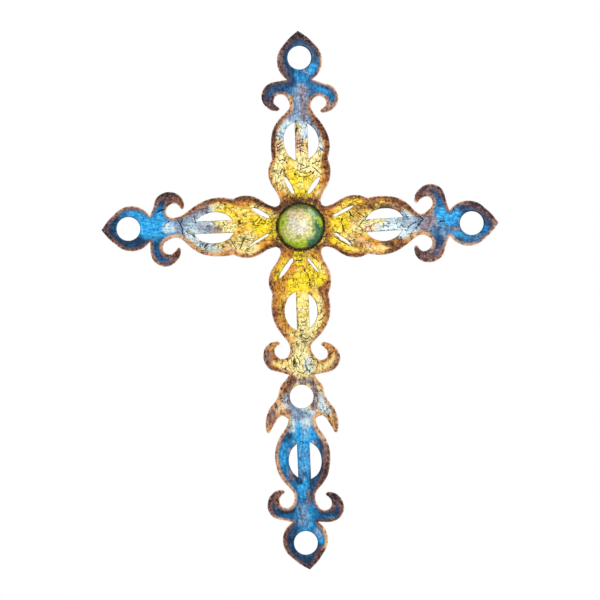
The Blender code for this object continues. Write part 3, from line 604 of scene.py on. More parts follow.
class CutLines:
    """The closed lines along which the plate was cut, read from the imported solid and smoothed.

    Attributes:
        loops: Each line's points, the outer one first, with the steel on the left.
    """

    CORNER_TURN = math.radians(38)
    FINE_STEP = 0.12

    def __init__(self, mesh: bpy.types.Mesh, level: float, step: float) -> None:
        """Traces the lines.

        Args:
            mesh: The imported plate.
            level: The height on its walls at which they are traced, in metres along Y.
            step: The distance between the points that are wanted.
        """
        lines = [self._smoothed(line, step) for line in self._traced(mesh, level)]
        lines.sort(key=lambda line: -abs(self._area(line)))
        self.loops = [
            line if (self._area(line) > 0) == (number == 0) else line[::-1]
            for number, line in enumerate(lines)
        ]

    @staticmethod
    def _area(line: np.ndarray) -> float:
        """Gives the area inside a closed line, above zero if it runs anticlockwise."""
        x, y = line.T
        return float((x * np.roll(y, -1) - np.roll(x, -1) * y).sum() / 2)

    @staticmethod
    def _traced(mesh: bpy.types.Mesh, level: float) -> list[np.ndarray]:
        """Follows the mesh's edges at one height.

        Args:
            mesh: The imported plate.
            level: The height, in metres along Y.

        Returns:
            Each closed line's corners.
        """
        links: dict[Place, set[Place]] = {}
        for edge in mesh.edges:
            ends = [mesh.vertices[i].co for i in edge.vertices]
            if all(abs(end.y - level) < 0.01 * MM for end in ends):
                a, b = ((round(end.x / MM, 3), round(end.z / MM, 3)) for end in ends)
                links.setdefault(a, set()).add(b)
                links.setdefault(b, set()).add(a)
        lines = []
        while links:
            here = next(iter(links))
            line = []
            while here is not None:
                line.append(here)
                nearby = links.pop(here)
                here = next((place for place in sorted(nearby) if place in links), None)
            lines.append(np.array(line))
        return lines

    @classmethod
    def _smoothed(cls, line: np.ndarray, step: float) -> np.ndarray:
        """Lays an even, smooth line through the corners, which turns only where it really turns.

        Args:
            line: The closed line's corners.
            step: The distance between the points that are wanted.

        Returns:
            The points of the smooth line.
        """
        run = np.roll(line, -1, axis=0) - line
        angle = np.arctan2(run[:, 1], run[:, 0])
        turn = (angle - np.roll(angle, 1) + math.pi) % math.tau - math.pi
        sharp = np.flatnonzero(np.abs(turn) > cls.CORNER_TURN)
        if len(sharp) == 0:
            return resampled(cls._curved(line, closed=True), step, 2, 1)[:-1]
        line = np.roll(line, -sharp[0], axis=0)
        marks = [*(sharp - sharp[0]), len(line)]
        line = np.vstack([line, line[:1]])
        spans = [cls._curved(line[a:b + 1], closed=False) for a, b in zip(marks[:-1], marks[1:])]
        return np.vstack([resampled(span, step, 2, 1)[:-1] for span in spans])

    @classmethod
    def _curved(cls, line: np.ndarray, closed: bool) -> np.ndarray:
        """Runs a smooth curve through points.

        Args:
            line: The points.
            closed: Whether the curve comes back to its start.

        Returns:
            The curve's points, close enough together to measure along it.
        """
        if closed:
            before, after = line[-1:], line[:2]
        else:
            before, after = 2 * line[:1] - line[1:2], 2 * line[-1:] - line[-2:-1]
        padded = np.vstack([before, line, after])
        pieces = []
        for p0, p1, p2, p3 in zip(padded[:-3], padded[1:-2], padded[2:-1], padded[3:]):
            length = math.dist(p1, p2)
            lead = (p2 - p0) * length / (math.dist(p0, p1) + length + 1e-9)
            trail = (p3 - p1) * length / (math.dist(p2, p3) + length + 1e-9)
            t = np.arange(0, 1, cls.FINE_STEP / max(length, cls.FINE_STEP))[:, None]
            pieces.append(
                (2 * t**3 - 3 * t**2 + 1) * p1 + (t**3 - 2 * t**2 + t) * lead
                + (3 * t**2 - 2 * t**3) * p2 + (t**3 - t**2) * trail
            )
        return np.vstack([*pieces, line[:1] if closed else line[-1:]])

    def lattice(self, spacing: float) -> np.ndarray:
        """Covers the steel with a triangular lattice of points.

        Args:
            spacing: The distance between neighbouring points.

        Returns:
            The points that lie inside the steel.
        """
        starts, ends = edges_of(self.loops)
        rise = spacing * math.sqrt(3) / 2
        found = []
        for row in range(int(starts[:, 1].min() / rise), int(starts[:, 1].max() / rise) + 1):
            level = row * rise + 1e-4
            shift = 0.5 * (row % 2)
            cuts = crossings(starts, ends, level) / spacing - shift
            for left, right in zip(cuts[::2], cuts[1::2]):
                columns = np.arange(math.ceil(left), math.floor(right) + 1)
                found.append(np.column_stack([(columns + shift) * spacing, np.full(len(columns), level)]))
        return np.vstack(found)


# Shader maths as Python expressions.


class Shade:
    """A number or a colour on a node's socket, with arithmetic on numbers."""

    def __init__(self, bench: "Bench", socket: bpy.types.NodeSocket) -> None:
        """Keeps the socket and where its nodes are made."""
        self.bench = bench
        self.socket = socket

    def _math(self, operation: str, first: "Shade | float", second: "Shade | float") -> "Shade":
        """Adds one Math node."""
        return self.bench.node("ShaderNodeMath", {"operation": operation}, {0: first, 1: second})

    def __add__(self, other: "Shade | float") -> "Shade":
        """Adds."""
        return self._math("ADD", self, other)

    def __radd__(self, other: float) -> "Shade":
        """Adds to a number."""
        return self._math("ADD", other, self)

    def __sub__(self, other: "Shade | float") -> "Shade":
        """Takes away."""
        return self._math("SUBTRACT", self, other)

    def __rsub__(self, other: float) -> "Shade":
        """Takes from a number."""
        return self._math("SUBTRACT", other, self)

    def __mul__(self, other: "Shade | float") -> "Shade":
        """Multiplies."""
        return self._math("MULTIPLY", self, other)

    def __rmul__(self, other: float) -> "Shade":
        """Multiplies a number."""
        return self._math("MULTIPLY", other, self)

    def rising(self, low: float, high: float) -> "Shade":
        """Goes smoothly from 0 at the low value to 1 at the high one."""
        settings = {"interpolation_type": "SMOOTHSTEP"}
        return self.bench.node("ShaderNodeMapRange", settings, {0: self, 1: low, 2: high})

    def ramp(self, tones: Sequence[Colour]) -> "Shade":
        """Turns the number into a colour, from the first tone at 0 to the last at 1, evenly spaced."""
        stops = [(number / (len(tones) - 1), colour) for number, colour in enumerate(tones)]
        return self.bench.node("ShaderNodeValToRGB", {"stops": stops}, {0: self})


Input = Shade | float | tuple[float, ...]


class Bench:
    """A material's nodes, and the ways they are made here."""

    MIX_FACTOR, MIX_A, MIX_B, MIX_OUT = 0, 6, 7, 2

    def __init__(self, name: str) -> None:
        """Starts a material that has one Principled shader.

        Args:
            name: The material's name.
        """
        self.material = bpy.data.materials.new(name)
        self.material.use_nodes = True
        self.tree = self.material.node_tree
        self.shader = self.tree.nodes["Principled BSDF"]

    def node(self, kind: str, settings: dict[str, object], values: dict[int | str, Input],
             out: int | str = 0) -> Shade:
        """Adds one node.

        Args:
            kind: The node's type.
            settings: Its own settings, set first; stops are a colour ramp's.
            values: What its sockets hold, or what is linked to them.
            out: Which of its outputs is wanted.

        Returns:
            That output.
        """
        made = self.tree.nodes.new(kind)
        for name, setting in settings.items():
            if name == "stops":
                self._set_stops(made.color_ramp, setting)
            else:
                setattr(made, name, setting)
        self._feed(made, values)
        return Shade(self, made.outputs[out])

    def _feed(self, made: bpy.types.Node, values: dict[int | str, Input]) -> None:
        """Links shades to a node's sockets, or sets the sockets' own values.

        Args:
            made: The node.
            values: What its sockets get.
        """
        for socket, value in values.items():
            if isinstance(value, Shade):
                self.tree.links.new(value.socket, made.inputs[socket])
            else:
                made.inputs[socket].default_value = value

    @staticmethod
    def _set_stops(ramp: bpy.types.ColorRamp, stops: Sequence[tuple[float, Colour]]) -> None:
        """Gives a colour ramp its stops.

        Args:
            ramp: The ramp.
            stops: Each stop's place and colour.
        """
        while len(ramp.elements) < len(stops):
            ramp.elements.new(1.0)
        for element, (position, colour) in zip(ramp.elements, stops):
            element.position = position
            element.color = colour

    def finish(self, values: dict[str, Input]) -> bpy.types.Material:
        """Sets or links the Principled shader's sockets, and gives the material."""
        self._feed(self.shader, values)
        return self.material

    def layer(self, name: str) -> Shade:
        """Reads a number that the mesh holds at its points."""
        return self.node("ShaderNodeAttribute", {"attribute_name": name}, {}, "Fac")

    def place(self) -> Shade:
        """Gives the place on the object, in metres."""
        return self.node("ShaderNodeTexCoord", {}, {}, "Object")

    def vector(self, x: Input, y: Input, z: Input) -> Shade:
        """Joins three numbers to a place."""
        return self.node("ShaderNodeCombineXYZ", {}, {0: x, 1: y, 2: z})

    def moved(self, place: Shade, shift: Input) -> Shade:
        """Adds a shift to a place."""
        return self.node("ShaderNodeVectorMath", {"operation": "ADD"}, {0: place, 1: shift})

    def scaled(self, place: Shade, factor: float) -> Shade:
        """Multiplies a place or a direction by a number."""
        return self.node("ShaderNodeVectorMath", {"operation": "SCALE"}, {0: place, "Scale": factor})

    def noise(self, place: Shade, scale: float, detail: float = 3.0, rough: float = 0.55,
              out: str = "Fac") -> Shade:
        """Adds a cloudy pattern with about this many swells to a metre."""
        values = {"Vector": place, "Scale": scale, "Detail": detail, "Roughness": rough}
        return self.node("ShaderNodeTexNoise", {}, values, out)

    def cells(self, place: Shade, scale: float) -> Shade:
        """Gives how far a place is from the nearest border between irregular cells."""
        settings = {"feature": "DISTANCE_TO_EDGE"}
        return self.node("ShaderNodeTexVoronoi", settings, {"Vector": place, "Scale": scale}, "Distance")

    def mixed(self, factor: Input, first: Input, second: Input, blend: str = "MIX") -> Shade:
        """Mixes two colours: the first where the factor is 0, and the second where it is 1."""
        values = {self.MIX_FACTOR: factor, self.MIX_A: first, self.MIX_B: second}
        return self.node("ShaderNodeMix", {"data_type": "RGBA", "blend_type": blend}, values, self.MIX_OUT)

    def dimmed(self, colour: Shade, amount: Shade) -> Shade:
        """Multiplies a colour by a number."""
        return self.mixed(1.0, colour, amount, "MULTIPLY")

    def bump(self, height: Shade, depth: float) -> Shade:
        """Turns a height from 0 to 1 into a slope of the surface, this many metres deep."""
        values = {"Height": height, "Distance": depth, "Strength": 1.0}
        return self.node("ShaderNodeBump", {}, values, "Normal")


# The finishes.


@dataclass(frozen=True)
class Coat:
    """One brushed colour: which paint, and its deep, middle and light tones."""

    paint: Paint
    deep: Colour
    middle: Colour
    light: Colour

    def over(self, bench: Bench, colour: Shade, torn: Shade, depth: Shade) -> Shade:
        """Brushes the colour over what is there.

        Args:
            bench: The material's nodes.
            colour: What is there.
            torn: How unevenly the colour took, around 1.
            depth: How thin the colour lies, from 0 to 1.

        Returns:
            The colour that shows.
        """
        cover = (bench.layer(self.paint.value) * torn).rising(0.05, 0.85)
        return bench.mixed(cover, colour, depth.ramp((self.deep, self.middle, self.light)))


@dataclass(frozen=True)
class PlateFinish:
    """Burnt steel under transparent colours and a crackled varnish."""

    ground: tuple[Colour, ...] = (tone(0.64, 0.42, 0.08), tone(0.94, 0.77, 0.28), tone(1.0, 0.92, 0.56))
    coats: tuple[Coat, ...] = (
        Coat(Paint.AMBER, tone(0.42, 0.22, 0.04), tone(0.80, 0.52, 0.12), tone(0.95, 0.74, 0.30)),
        Coat(Paint.LEMON, tone(0.70, 0.50, 0.0), tone(0.97, 0.83, 0.06), tone(1.0, 0.95, 0.32)),
        Coat(Paint.CREAM, tone(0.76, 0.63, 0.33), tone(0.96, 0.89, 0.58), tone(1.0, 0.98, 0.80)),
        Coat(Paint.PEACH, tone(0.62, 0.43, 0.32), tone(0.88, 0.70, 0.54), tone(0.99, 0.90, 0.80)),
        Coat(Paint.AZURE, tone(0.0, 0.17, 0.31), tone(0.0, 0.40, 0.61), tone(0.02, 0.59, 0.85)),
        Coat(Paint.SKY, tone(0.0, 0.36, 0.59), tone(0.04, 0.60, 0.87), tone(0.38, 0.82, 0.99)),
        Coat(Paint.ICE, tone(0.50, 0.61, 0.64), tone(0.76, 0.85, 0.88), tone(0.94, 0.97, 0.97)),
        Coat(Paint.LILAC, tone(0.23, 0.31, 0.42), tone(0.44, 0.54, 0.66), tone(0.70, 0.77, 0.87)),
        Coat(Paint.NAVY, tone(0.01, 0.05, 0.12), tone(0.03, 0.18, 0.32), tone(0.10, 0.38, 0.54)),
        Coat(Paint.MAUVE, tone(0.22, 0.15, 0.17), tone(0.47, 0.38, 0.41), tone(0.74, 0.67, 0.68)),
        Coat(Paint.RUST, tone(0.12, 0.06, 0.04), tone(0.40, 0.22, 0.12), tone(0.68, 0.44, 0.25)),
    )
    warm_burn: tuple[Colour, ...] = (
        tone(0.95, 0.77, 0.46), tone(0.83, 0.58, 0.31), tone(0.60, 0.36, 0.19), tone(0.37, 0.20, 0.13),
        tone(0.14, 0.07, 0.07),
    )
    cool_burn: tuple[Colour, ...] = (
        tone(0.92, 0.78, 0.62), tone(0.79, 0.62, 0.50), tone(0.55, 0.40, 0.36), tone(0.33, 0.22, 0.25),
        tone(0.12, 0.08, 0.13),
    )
    warm_halo: Colour = tone(0.88, 0.66, 0.36)
    cool_halo: Colour = tone(0.38, 0.54, 0.68)
    # The pale edge's colour: bare ground steel, with a painted highlight where the edge's bead would catch
    # the lamp; the burn's pale flecks share it.
    pale_edge_and_highlight: Colour = tone(0.92, 0.78, 0.66)
    soot_brown: Colour = tone(0.27, 0.15, 0.03)
    warm_crackle: Colour = tone(0.16, 0.11, 0.03)
    cool_crackle: Colour = tone(0.04, 0.10, 0.18)
    crack_black: Colour = tone(0.03, 0.03, 0.04)
    back_brown: Colour = tone(0.42, 0.32, 0.27)
    back_black: Colour = tone(0.22, 0.18, 0.17)
    metal: float = 0.2

    def build(self) -> bpy.types.Material:
        """Makes the material.

        Returns:
            The plate's material.
        """
        bench = Bench("painted steel, crackled")
        place = bench.place()
        fine = bench.noise(place, 800.0, 2.0)
        mottle = bench.noise(place, 300.0, 3.0, 0.6)
        broad = bench.noise(place, 85.0, 3.0)
        blue = bench.layer("blue")
        back = bench.layer("back")
        crack = bench.layer("crack")
        crazing = self._crazing(bench, place)

        colour = self._brushwork(bench, place, mottle, broad)
        colour, burnt = self._burnt(bench, colour, mottle, broad)
        grout = bench.mixed(blue, self.warm_crackle, self.cool_crackle)
        colour = bench.mixed((crazing * (0.95 - 0.4 * blue)).rising(0.0, 1.0), colour, grout)
        colour = bench.dimmed(colour, 1.0 + (fine - 0.5) * 0.5)
        colour = bench.mixed(crack.rising(0.1, 0.5), colour, self.crack_black)
        patches = (0.6 * broad + 0.4 * mottle).rising(0.38, 0.62)
        colour = bench.mixed(back, colour, bench.mixed(patches, self.back_brown, self.back_black))

        relief = 0.5 * mottle + 0.3 * fine - 0.8 * crazing - crack
        return bench.finish({
            "Base Color": colour,
            "Metallic": self.metal,
            "Roughness": 0.42 + 0.2 * burnt + 0.15 * (mottle - 0.5),
            "Coat Weight": 0.2 * (1.0 - burnt) * (1.0 - back),
            "Coat Roughness": 0.25,
            "Specular IOR Level": 0.2,
            "Normal": bench.bump(relief, 0.25 * MM),
        })

    def _brushwork(self, bench: Bench, place: Shade, mottle: Shade, broad: Shade) -> Shade:
        """Lays the ground, the coats over it and the soot in their hollows.

        Args:
            bench: The material's nodes.
            place: The place on the plate.
            mottle: The close cloudy pattern.
            broad: The wide one.

        Returns:
            The colour.
        """
        depth = (0.5 * mottle + 0.5 * self._streaks(bench) - 0.5) * 2.8 + 0.55
        colour = (depth + (broad - 0.5) * 1.4).ramp(self.ground)
        for number, coat in enumerate(self.coats):
            drift = bench.moved(place, (0.37 * (number + 1), 0.0, 0.11 * number))
            torn = 1.0 + (bench.noise(drift, 150.0, 4.0, 0.6) - 0.5) * 2.4
            colour = coat.over(bench, colour, torn, depth)
        grime = bench.noise(place, 330.0, 4.0, 0.7).rising(0.43, 0.57) * bench.layer(Paint.SOOT.value)
        return bench.mixed(grime * 0.85, colour, self.soot_brown)

    def _burnt(self, bench: Bench, colour: Shade, mottle: Shade, broad: Shade) -> tuple[Shade, Shade]:
        """Burns the rims: a halo, the brown, its flecks, a pale edge with a painted highlight and darker
        openings.

        Args:
            bench: The material's nodes.
            colour: The brushed colour.
            mottle: The close cloudy pattern.
            broad: The wide one.

        Returns:
            The colour, and how far the surface is burnt, from 0 to 1.
        """
        rim = bench.layer("rim")
        reach = bench.layer("burn") * (0.45 + 1.1 * broad) + (mottle - 0.5) * 2.6
        tint = bench.mixed(bench.layer("blue"), self.warm_halo, self.cool_halo)
        colour = bench.mixed((reach - rim).rising(-4.5, 0.5) * 0.7, colour, tint, "MULTIPLY")
        burnt = (reach - rim).rising(-2.0, 1.4)
        shade = bench.layer("shade") + (mottle - 0.5) * 1.2 + (broad - 0.5) * 0.7 + 0.14 - 0.045 * rim
        scorch = bench.mixed(bench.layer("cool"), shade.ramp(self.warm_burn), shade.ramp(self.cool_burn))
        colour = bench.mixed(burnt, colour, scorch)
        flecks = bench.noise(bench.place(), 560.0, 2.0).rising(0.54, 0.66) * burnt
        colour = bench.mixed(flecks * 0.2, colour, self.pale_edge_and_highlight)
        # The pale line along the outer edge: bare ground steel with a painted highlight on it, strongest
        # where the burn is pale.
        bright = (1.25 - shade).rising(0.15, 0.8)
        edge = (1.0 - (rim + (mottle - 0.5) * 2.6).rising(0.5, 1.3)) * bright
        colour = bench.mixed(edge * 0.85, colour, self.pale_edge_and_highlight)
        cut = 1.0 - (bench.layer("hole") + (mottle - 0.5) * 1.6).rising(0.5, 1.7)
        return bench.dimmed(colour, 1.0 - 0.22 * cut), burnt

    @staticmethod
    def _streaks(bench: Bench) -> Shade:
        """Makes the streaks that the brush and the flame left along each arm."""
        run = bench.vector(bench.layer("out") * 0.5, bench.layer("along") * 0.12, 0.0)
        return bench.noise(run, 1.0, 3.0, 0.6)

    @staticmethod
    def _crazing(bench: Bench, place: Shade) -> Shade:
        """Makes the varnish's fine crackle: a loose net, small cells in places, and lines along the arm.

        Args:
            bench: The material's nodes.
            place: The place on the plate.

        Returns:
            How deep the crackle is, 0 between its lines.
        """
        sway = bench.noise(place, 260.0, 3.0, 0.6, out="Color")
        bent = bench.moved(place, bench.scaled(sway, 5.5 * MM))
        run = bench.vector(bench.layer("out") * 0.30, bench.layer("along") * 0.085, 0.0)
        run = bench.moved(run, bench.scaled(sway, 1.3))
        net = 1.0 - bench.cells(bent, 165.0).rising(0.0, 0.12)
        small = 1.0 - bench.cells(bent, 340.0).rising(0.0, 0.2)
        lines = 1.0 - bench.cells(run, 1.0).rising(0.0, 0.13)
        here = bench.noise(place, 140.0, 2.0)
        there = bench.noise(bench.moved(place, (0.5, 0.0, 0.3)), 110.0, 2.0)
        net = net * here.rising(0.40, 0.56) * 0.75
        lines = lines * there.rising(0.46, 0.58) * 0.7
        return net + lines + small * (1.0 - here).rising(0.54, 0.66) * 0.3


@dataclass(frozen=True)
class DomeFinish:
    """Green and cream enamel, pale over the middle with a painted highlight, and painted shade at the foot.
    """

    ground: tuple[Colour, ...] = (tone(0.16, 0.24, 0.06), tone(0.42, 0.54, 0.16), tone(0.66, 0.76, 0.36))
    coats: tuple[Coat, ...] = (
        Coat(Paint.OLIVE, tone(0.18, 0.20, 0.09), tone(0.44, 0.48, 0.28), tone(0.66, 0.70, 0.52)),
        Coat(Paint.TEAL, tone(0.06, 0.24, 0.16), tone(0.20, 0.46, 0.32), tone(0.42, 0.66, 0.48)),
        Coat(Paint.LIME, tone(0.46, 0.58, 0.02), tone(0.73, 0.85, 0.14), tone(0.88, 0.96, 0.40)),
        Coat(Paint.MINT, tone(0.42, 0.62, 0.38), tone(0.70, 0.86, 0.60), tone(0.88, 0.96, 0.78)),
        Coat(Paint.CREAM, tone(0.62, 0.60, 0.26), tone(0.90, 0.88, 0.54), tone(0.98, 0.97, 0.76)),
        Coat(Paint.PEACH, tone(0.68, 0.53, 0.34), tone(0.90, 0.79, 0.60), tone(0.98, 0.93, 0.80)),
        # The palest coat: pale paint that also carries the painted highlight.
        Coat(Paint.PEARL_AND_HIGHLIGHT, tone(0.74, 0.68, 0.58), tone(0.93, 0.90, 0.80), tone(1.0, 0.99, 0.94)),
    )
    foot_shadow: Colour = tone(0.10, 0.09, 0.04)

    def build(self) -> bpy.types.Material:
        """Makes the material.

        Returns:
            The dome's material.
        """
        bench = Bench("green enamel")
        place = bench.place()
        mottle = bench.noise(place, 330.0, 4.0, 0.66)
        fine = bench.noise(place, 700.0, 2.0)
        depth = (mottle - 0.5) * 2.6 + 0.5
        colour = depth.ramp(self.ground)
        for number, coat in enumerate(self.coats):
            drift = bench.moved(place, (0.0, 0.29 * (number + 1), 0.07 * number))
            torn = 1.0 + (bench.noise(drift, 190.0, 4.0, 0.6) - 0.5) * 3.4
            colour = coat.over(bench, colour, torn, depth)
        foot = (bench.layer("low") + (mottle - 0.5) * 0.12).rising(0.84, 1.03)
        colour = bench.mixed(foot, colour, self.foot_shadow)
        bent = bench.moved(place, bench.scaled(bench.noise(place, 300.0, 2.0, out="Color"), 3.0 * MM))
        crazing = (1.0 - bench.cells(bent, 260.0).rising(0.02, 0.14)) * fine.rising(0.4, 0.55)
        colour = bench.dimmed(colour, 1.0 - 0.35 * crazing)
        colour = bench.dimmed(colour, 1.0 + (fine - 0.5) * 0.7)
        return bench.finish({
            "Base Color": colour,
            "Metallic": 0.1,
            "Roughness": 0.40 + 0.3 * (mottle - 0.5),
            "Coat Weight": 0.15,
            "Coat Roughness": 0.3,
            "Specular IOR Level": 0.3,
            "Normal": bench.bump(0.6 * mottle - crazing, 0.2 * MM),
        })


@dataclass(frozen=True)
class SeamFinish:
    """The dark, scorched seam around the dome, with flecks of orange and cream."""

    scorched: Colour = tone(0.13, 0.08, 0.04)
    umber: Colour = tone(0.40, 0.25, 0.11)
    fleck: Colour = tone(0.76, 0.58, 0.30)

    def build(self) -> bpy.types.Material:
        """Makes the material.

        Returns:
            The seam's material.
        """
        bench = Bench("scorched seam")
        place = bench.place()
        cloud = bench.noise(place, 300.0, 4.0, 0.65)
        spot = bench.noise(place, 520.0, 2.0)
        colour = bench.mixed(cloud.rising(0.45, 0.62), self.scorched, self.umber)
        colour = bench.mixed(spot.rising(0.6, 0.7), colour, self.fleck)
        return bench.finish({
            "Base Color": colour,
            "Metallic": 0.3,
            "Roughness": 0.55 + 0.3 * (cloud - 0.5),
            "Specular IOR Level": 0.3,
            "Normal": bench.bump(cloud, 0.3 * MM),
        })


@dataclass(frozen=True)
class FloorFinish:
    """The studio's matt, pale floor."""

    colour: Colour = tone(0.93, 0.93, 0.93)
    glow: float = 0.25

    def build(self) -> bpy.types.Material:
        """Makes the material.

        Returns:
            The floor's material.
        """
        return Bench("pale floor").finish({
            "Base Color": self.colour,
            "Roughness": 0.9,
            "Emission Color": self.colour,
            "Emission Strength": self.glow,
        })


# The pieces.


def add_piece(name: str, verts: np.ndarray, faces: Sequence[Sequence[int]],
              layers: dict[str, np.ndarray], material: bpy.types.Material) -> bpy.types.Object:
    """Makes a smooth-shaded mesh object, and reports it.

    Args:
        name: Its name.
        verts: Its points, in metres.
        faces: Its faces, as numbers of points.
        layers: Numbers at its points that the material reads, by name.
        material: Its finish.

    Returns:
        The object, which is in the scene.
    """
    mesh = bpy.data.meshes.new(name)
    mesh.from_pydata(verts.tolist(), [], [list(map(int, f)) for f in faces])
    for layer, values in layers.items():
        held = mesh.attributes.new(layer, "FLOAT", "POINT")
        held.data.foreach_set("value", np.asarray(values, dtype=np.float32))
    mesh.shade_smooth()
    mesh.materials.append(material)
    mesh.update()
    piece = bpy.data.objects.new(name, mesh)
    bpy.context.scene.collection.objects.link(piece)
    log.info("%s: %d points, %d faces", name, len(verts), len(faces))
    return piece


@dataclass(frozen=True)
class Walls:
    """The plate's side walls and back.

    Attributes:
        verts: Their points, in millimetres: the foot of the walls, then the back.
        flat: The front's outline and the back's points, seen from the front.
        quads: The walls' faces; the numbers below border are the front's own outline.
        back: The back's triangles, numbered from the back's own first point.
        border: How many points the outline has.
    """

    verts: np.ndarray
    flat: np.ndarray
    quads: list[tuple[int, ...]]
    back: list[tuple[int, ...]]
    border: int


@dataclass
class CrossPlate:
    """The pierced plate: rounded, slightly raised rims, a hand-beaten front and a plain back.

    Lengths are in millimetres.

    Attributes:
        node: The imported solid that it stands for.
        wall_level: Where its outline is read from that solid's walls, as a share of its thickness.
        step: The distance between points along a cut edge.
        spacing: The distance between points inside.
        edge_radius: The rounding of the front edges.
        back_chamfer: The small bevel of the back edges.
        field_depth: How far the field lies below the solid's front.
        bead_height: How far the rim's bead stands over the field.
        bead_at: How far the bead's crest is from the edge.
        bead_width: How far it falls off to each side.
        beaten: The height of the hammered swells, and the distance between them.
        grain: The same of the fine swells between them.
        crack_depth: How deep the bold cracks are.
        crack_step: The distance between points along a crack.
        crack_sway: How far a crack strays from its path, as a share of its width.
        crack_side: How far its shoulders lie from its bottom, as a share of its width.
        round_at: Where rows of points follow the rounding of the edges, in degrees of its arc.
        rows_at: How far from the edges two more rows lie.
        gaps: How close the shoulders' points, and then each row's, may come to earlier ones.
        back_spacing: The distance between points inside the back.
        sharp_turn: The angle between faces that makes a sharp edge, in degrees.
        arm_shift: What sets the patterns along an arm apart: for up or right, and for upright arms.
        unburnt: The weight, depth and shade of the burn where no stretch of the rim is near.
        wall_back: How much of the back's look the side walls have, from 0 to 1.
    """

    node: str = "cross_plate"
    wall_level: float = 2.2 / 3.0
    step: float = 1.0
    spacing: float = 1.25
    edge_radius: float = 0.9
    back_chamfer: float = 0.3
    field_depth: float = 0.15
    bead_height: float = 0.22
    bead_at: float = 1.5
    bead_width: float = 0.9
    beaten: tuple[float, float] = (0.14, 16.0)
    grain: tuple[float, float] = (0.05, 4.0)
    crack_depth: float = 0.45
    crack_step: float = 0.6
    crack_sway: float = 0.3
    crack_side: float = 0.8
    round_at: tuple[float, ...] = (20, 42, 66, 90)
    rows_at: tuple[float, ...] = (1.6, 2.5)
    gaps: tuple[float, ...] = (0.3, 0.02, 0.08, 0.12, 0.2, 0.45, 0.6)
    back_spacing: float = 6.0
    sharp_turn: float = 50.0
    arm_shift: tuple[float, float] = (470.0, 930.0)
    unburnt: tuple[float, float, float] = (0.02, 2.6, 0.45)
    wall_back: float = 0.12
    finish: PlateFinish = field(default_factory=PlateFinish)

    def build(self) -> bpy.types.Object:
        """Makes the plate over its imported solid.

        Returns:
            The plate.
        """
        low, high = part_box(self.node)
        thickness = (high[1] - low[1]) / MM
        lines = CutLines(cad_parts[self.node].data, -thickness * self.wall_level * MM, self.step)
        border = sum(map(len, lines.loops))
        log.info("cut lines: %d, with %d points", len(lines.loops), border)
        inner, crack_share = self._inner_points(lines)
        points, front = filled(lines.loops, inner)
        rim = distance_to_loops(points, lines.loops[:1])
        hole = distance_to_loops(points, lines.loops[1:])
        nearest = np.minimum(rim, hole)
        nearest[:border] = 0.0
        crack = np.concatenate([np.zeros(border), crack_share])
        height = thickness + self._relief(points, nearest) - self.crack_depth * crack

        walls = self._walls(lines)
        verts = np.vstack([standing(points, -height), walls.verts]) * MM
        extra = len(points)
        faces = list(front)
        faces += [tuple(i if i < border else i - border + extra for i in quad) for quad in walls.quads]
        faces += [tuple(i + extra + border for i in triangle) for triangle in walls.back]
        flat = np.vstack([points, walls.flat])
        layers = self._layers(flat, rim, hole, crack, walls)
        plate = add_piece("painted_cross", verts, faces, layers, self.finish.build())
        plate.data.set_sharp_from_angle(angle=math.radians(self.sharp_turn))
        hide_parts(self.node)
        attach(plate, "root")
        return plate

    def _inner_points(self, lines: CutLines) -> tuple[np.ndarray, np.ndarray]:
        """Chooses the points inside the front: rows along every edge and crack, and a lattice.

        Args:
            lines: The cut lines.

        Returns:
            The points, and how far each is down a crack, from 0 to 1.
        """
        depths = [*(self.edge_radius * (1 - np.cos(np.radians(self.round_at)))), *self.rows_at]
        rows = []
        for depth in depths:
            row = np.vstack([inward(loop, depth) for loop in lines.loops])
            rows.append(row[distance_to_loops(row, lines.loops) > 0.96 * depth])
        bottoms, shoulders = self._crack_points()
        bottoms = bottoms[distance_to_loops(bottoms, lines.loops) > 1.0]
        shoulders = shoulders[distance_to_loops(shoulders, lines.loops) > 1.2]
        lattice = lines.lattice(self.spacing)
        lattice = lattice[distance_to_loops(lattice, lines.loops) > depths[-1] + 0.5 * self.spacing]
        later = [shoulders, *rows, lattice]
        kept = self._thinned(bottoms, later, [*self.gaps, 0.55 * self.spacing])
        return kept, (np.arange(len(kept)) < len(bottoms)).astype(float)

    @staticmethod
    def _thinned(kept: np.ndarray, groups: Sequence[np.ndarray], gaps: Sequence[float]) -> np.ndarray:
        """Adds points, but leaves out those that come too close to earlier ones.

        Args:
            kept: The first points.
            groups: The points to add, in order of importance.
            gaps: How close each group's points may come to earlier ones.

        Returns:
            All points kept.
        """
        for group, gap in zip(groups, gaps):
            tree = tree_of(kept)
            clear = np.array([tree.find((x, y, 0.0))[2] > gap for x, y in group], dtype=bool)
            kept = np.vstack([kept, group[clear]])
        return kept

    def _crack_points(self) -> tuple[np.ndarray, np.ndarray]:
        """Lays points along the bold cracks.

        Returns:
            The points along their bottoms, and those along both their shoulders.
        """
        bottoms = []
        shoulders = []
        for crack in CRACKS:
            line = resampled(np.array(crack.path, dtype=float), self.crack_step, 3)
            run = np.gradient(line, axis=0)
            side = np.column_stack([-run[:, 1], run[:, 0]]) / np.hypot(*run.T)[:, None]
            taper = np.sin(np.linspace(0.12, math.pi - 0.12, len(line))) ** 0.5
            sway = fractal(line, 2.5, 7.0)[:, None] * self.crack_sway * crack.width
            line = line + side * sway
            bottoms.append(line)
            for sign in (-1, 1):
                shoulders.append(line + sign * side * (crack.width * taper)[:, None] * self.crack_side)
        return np.vstack(bottoms), np.vstack(shoulders)

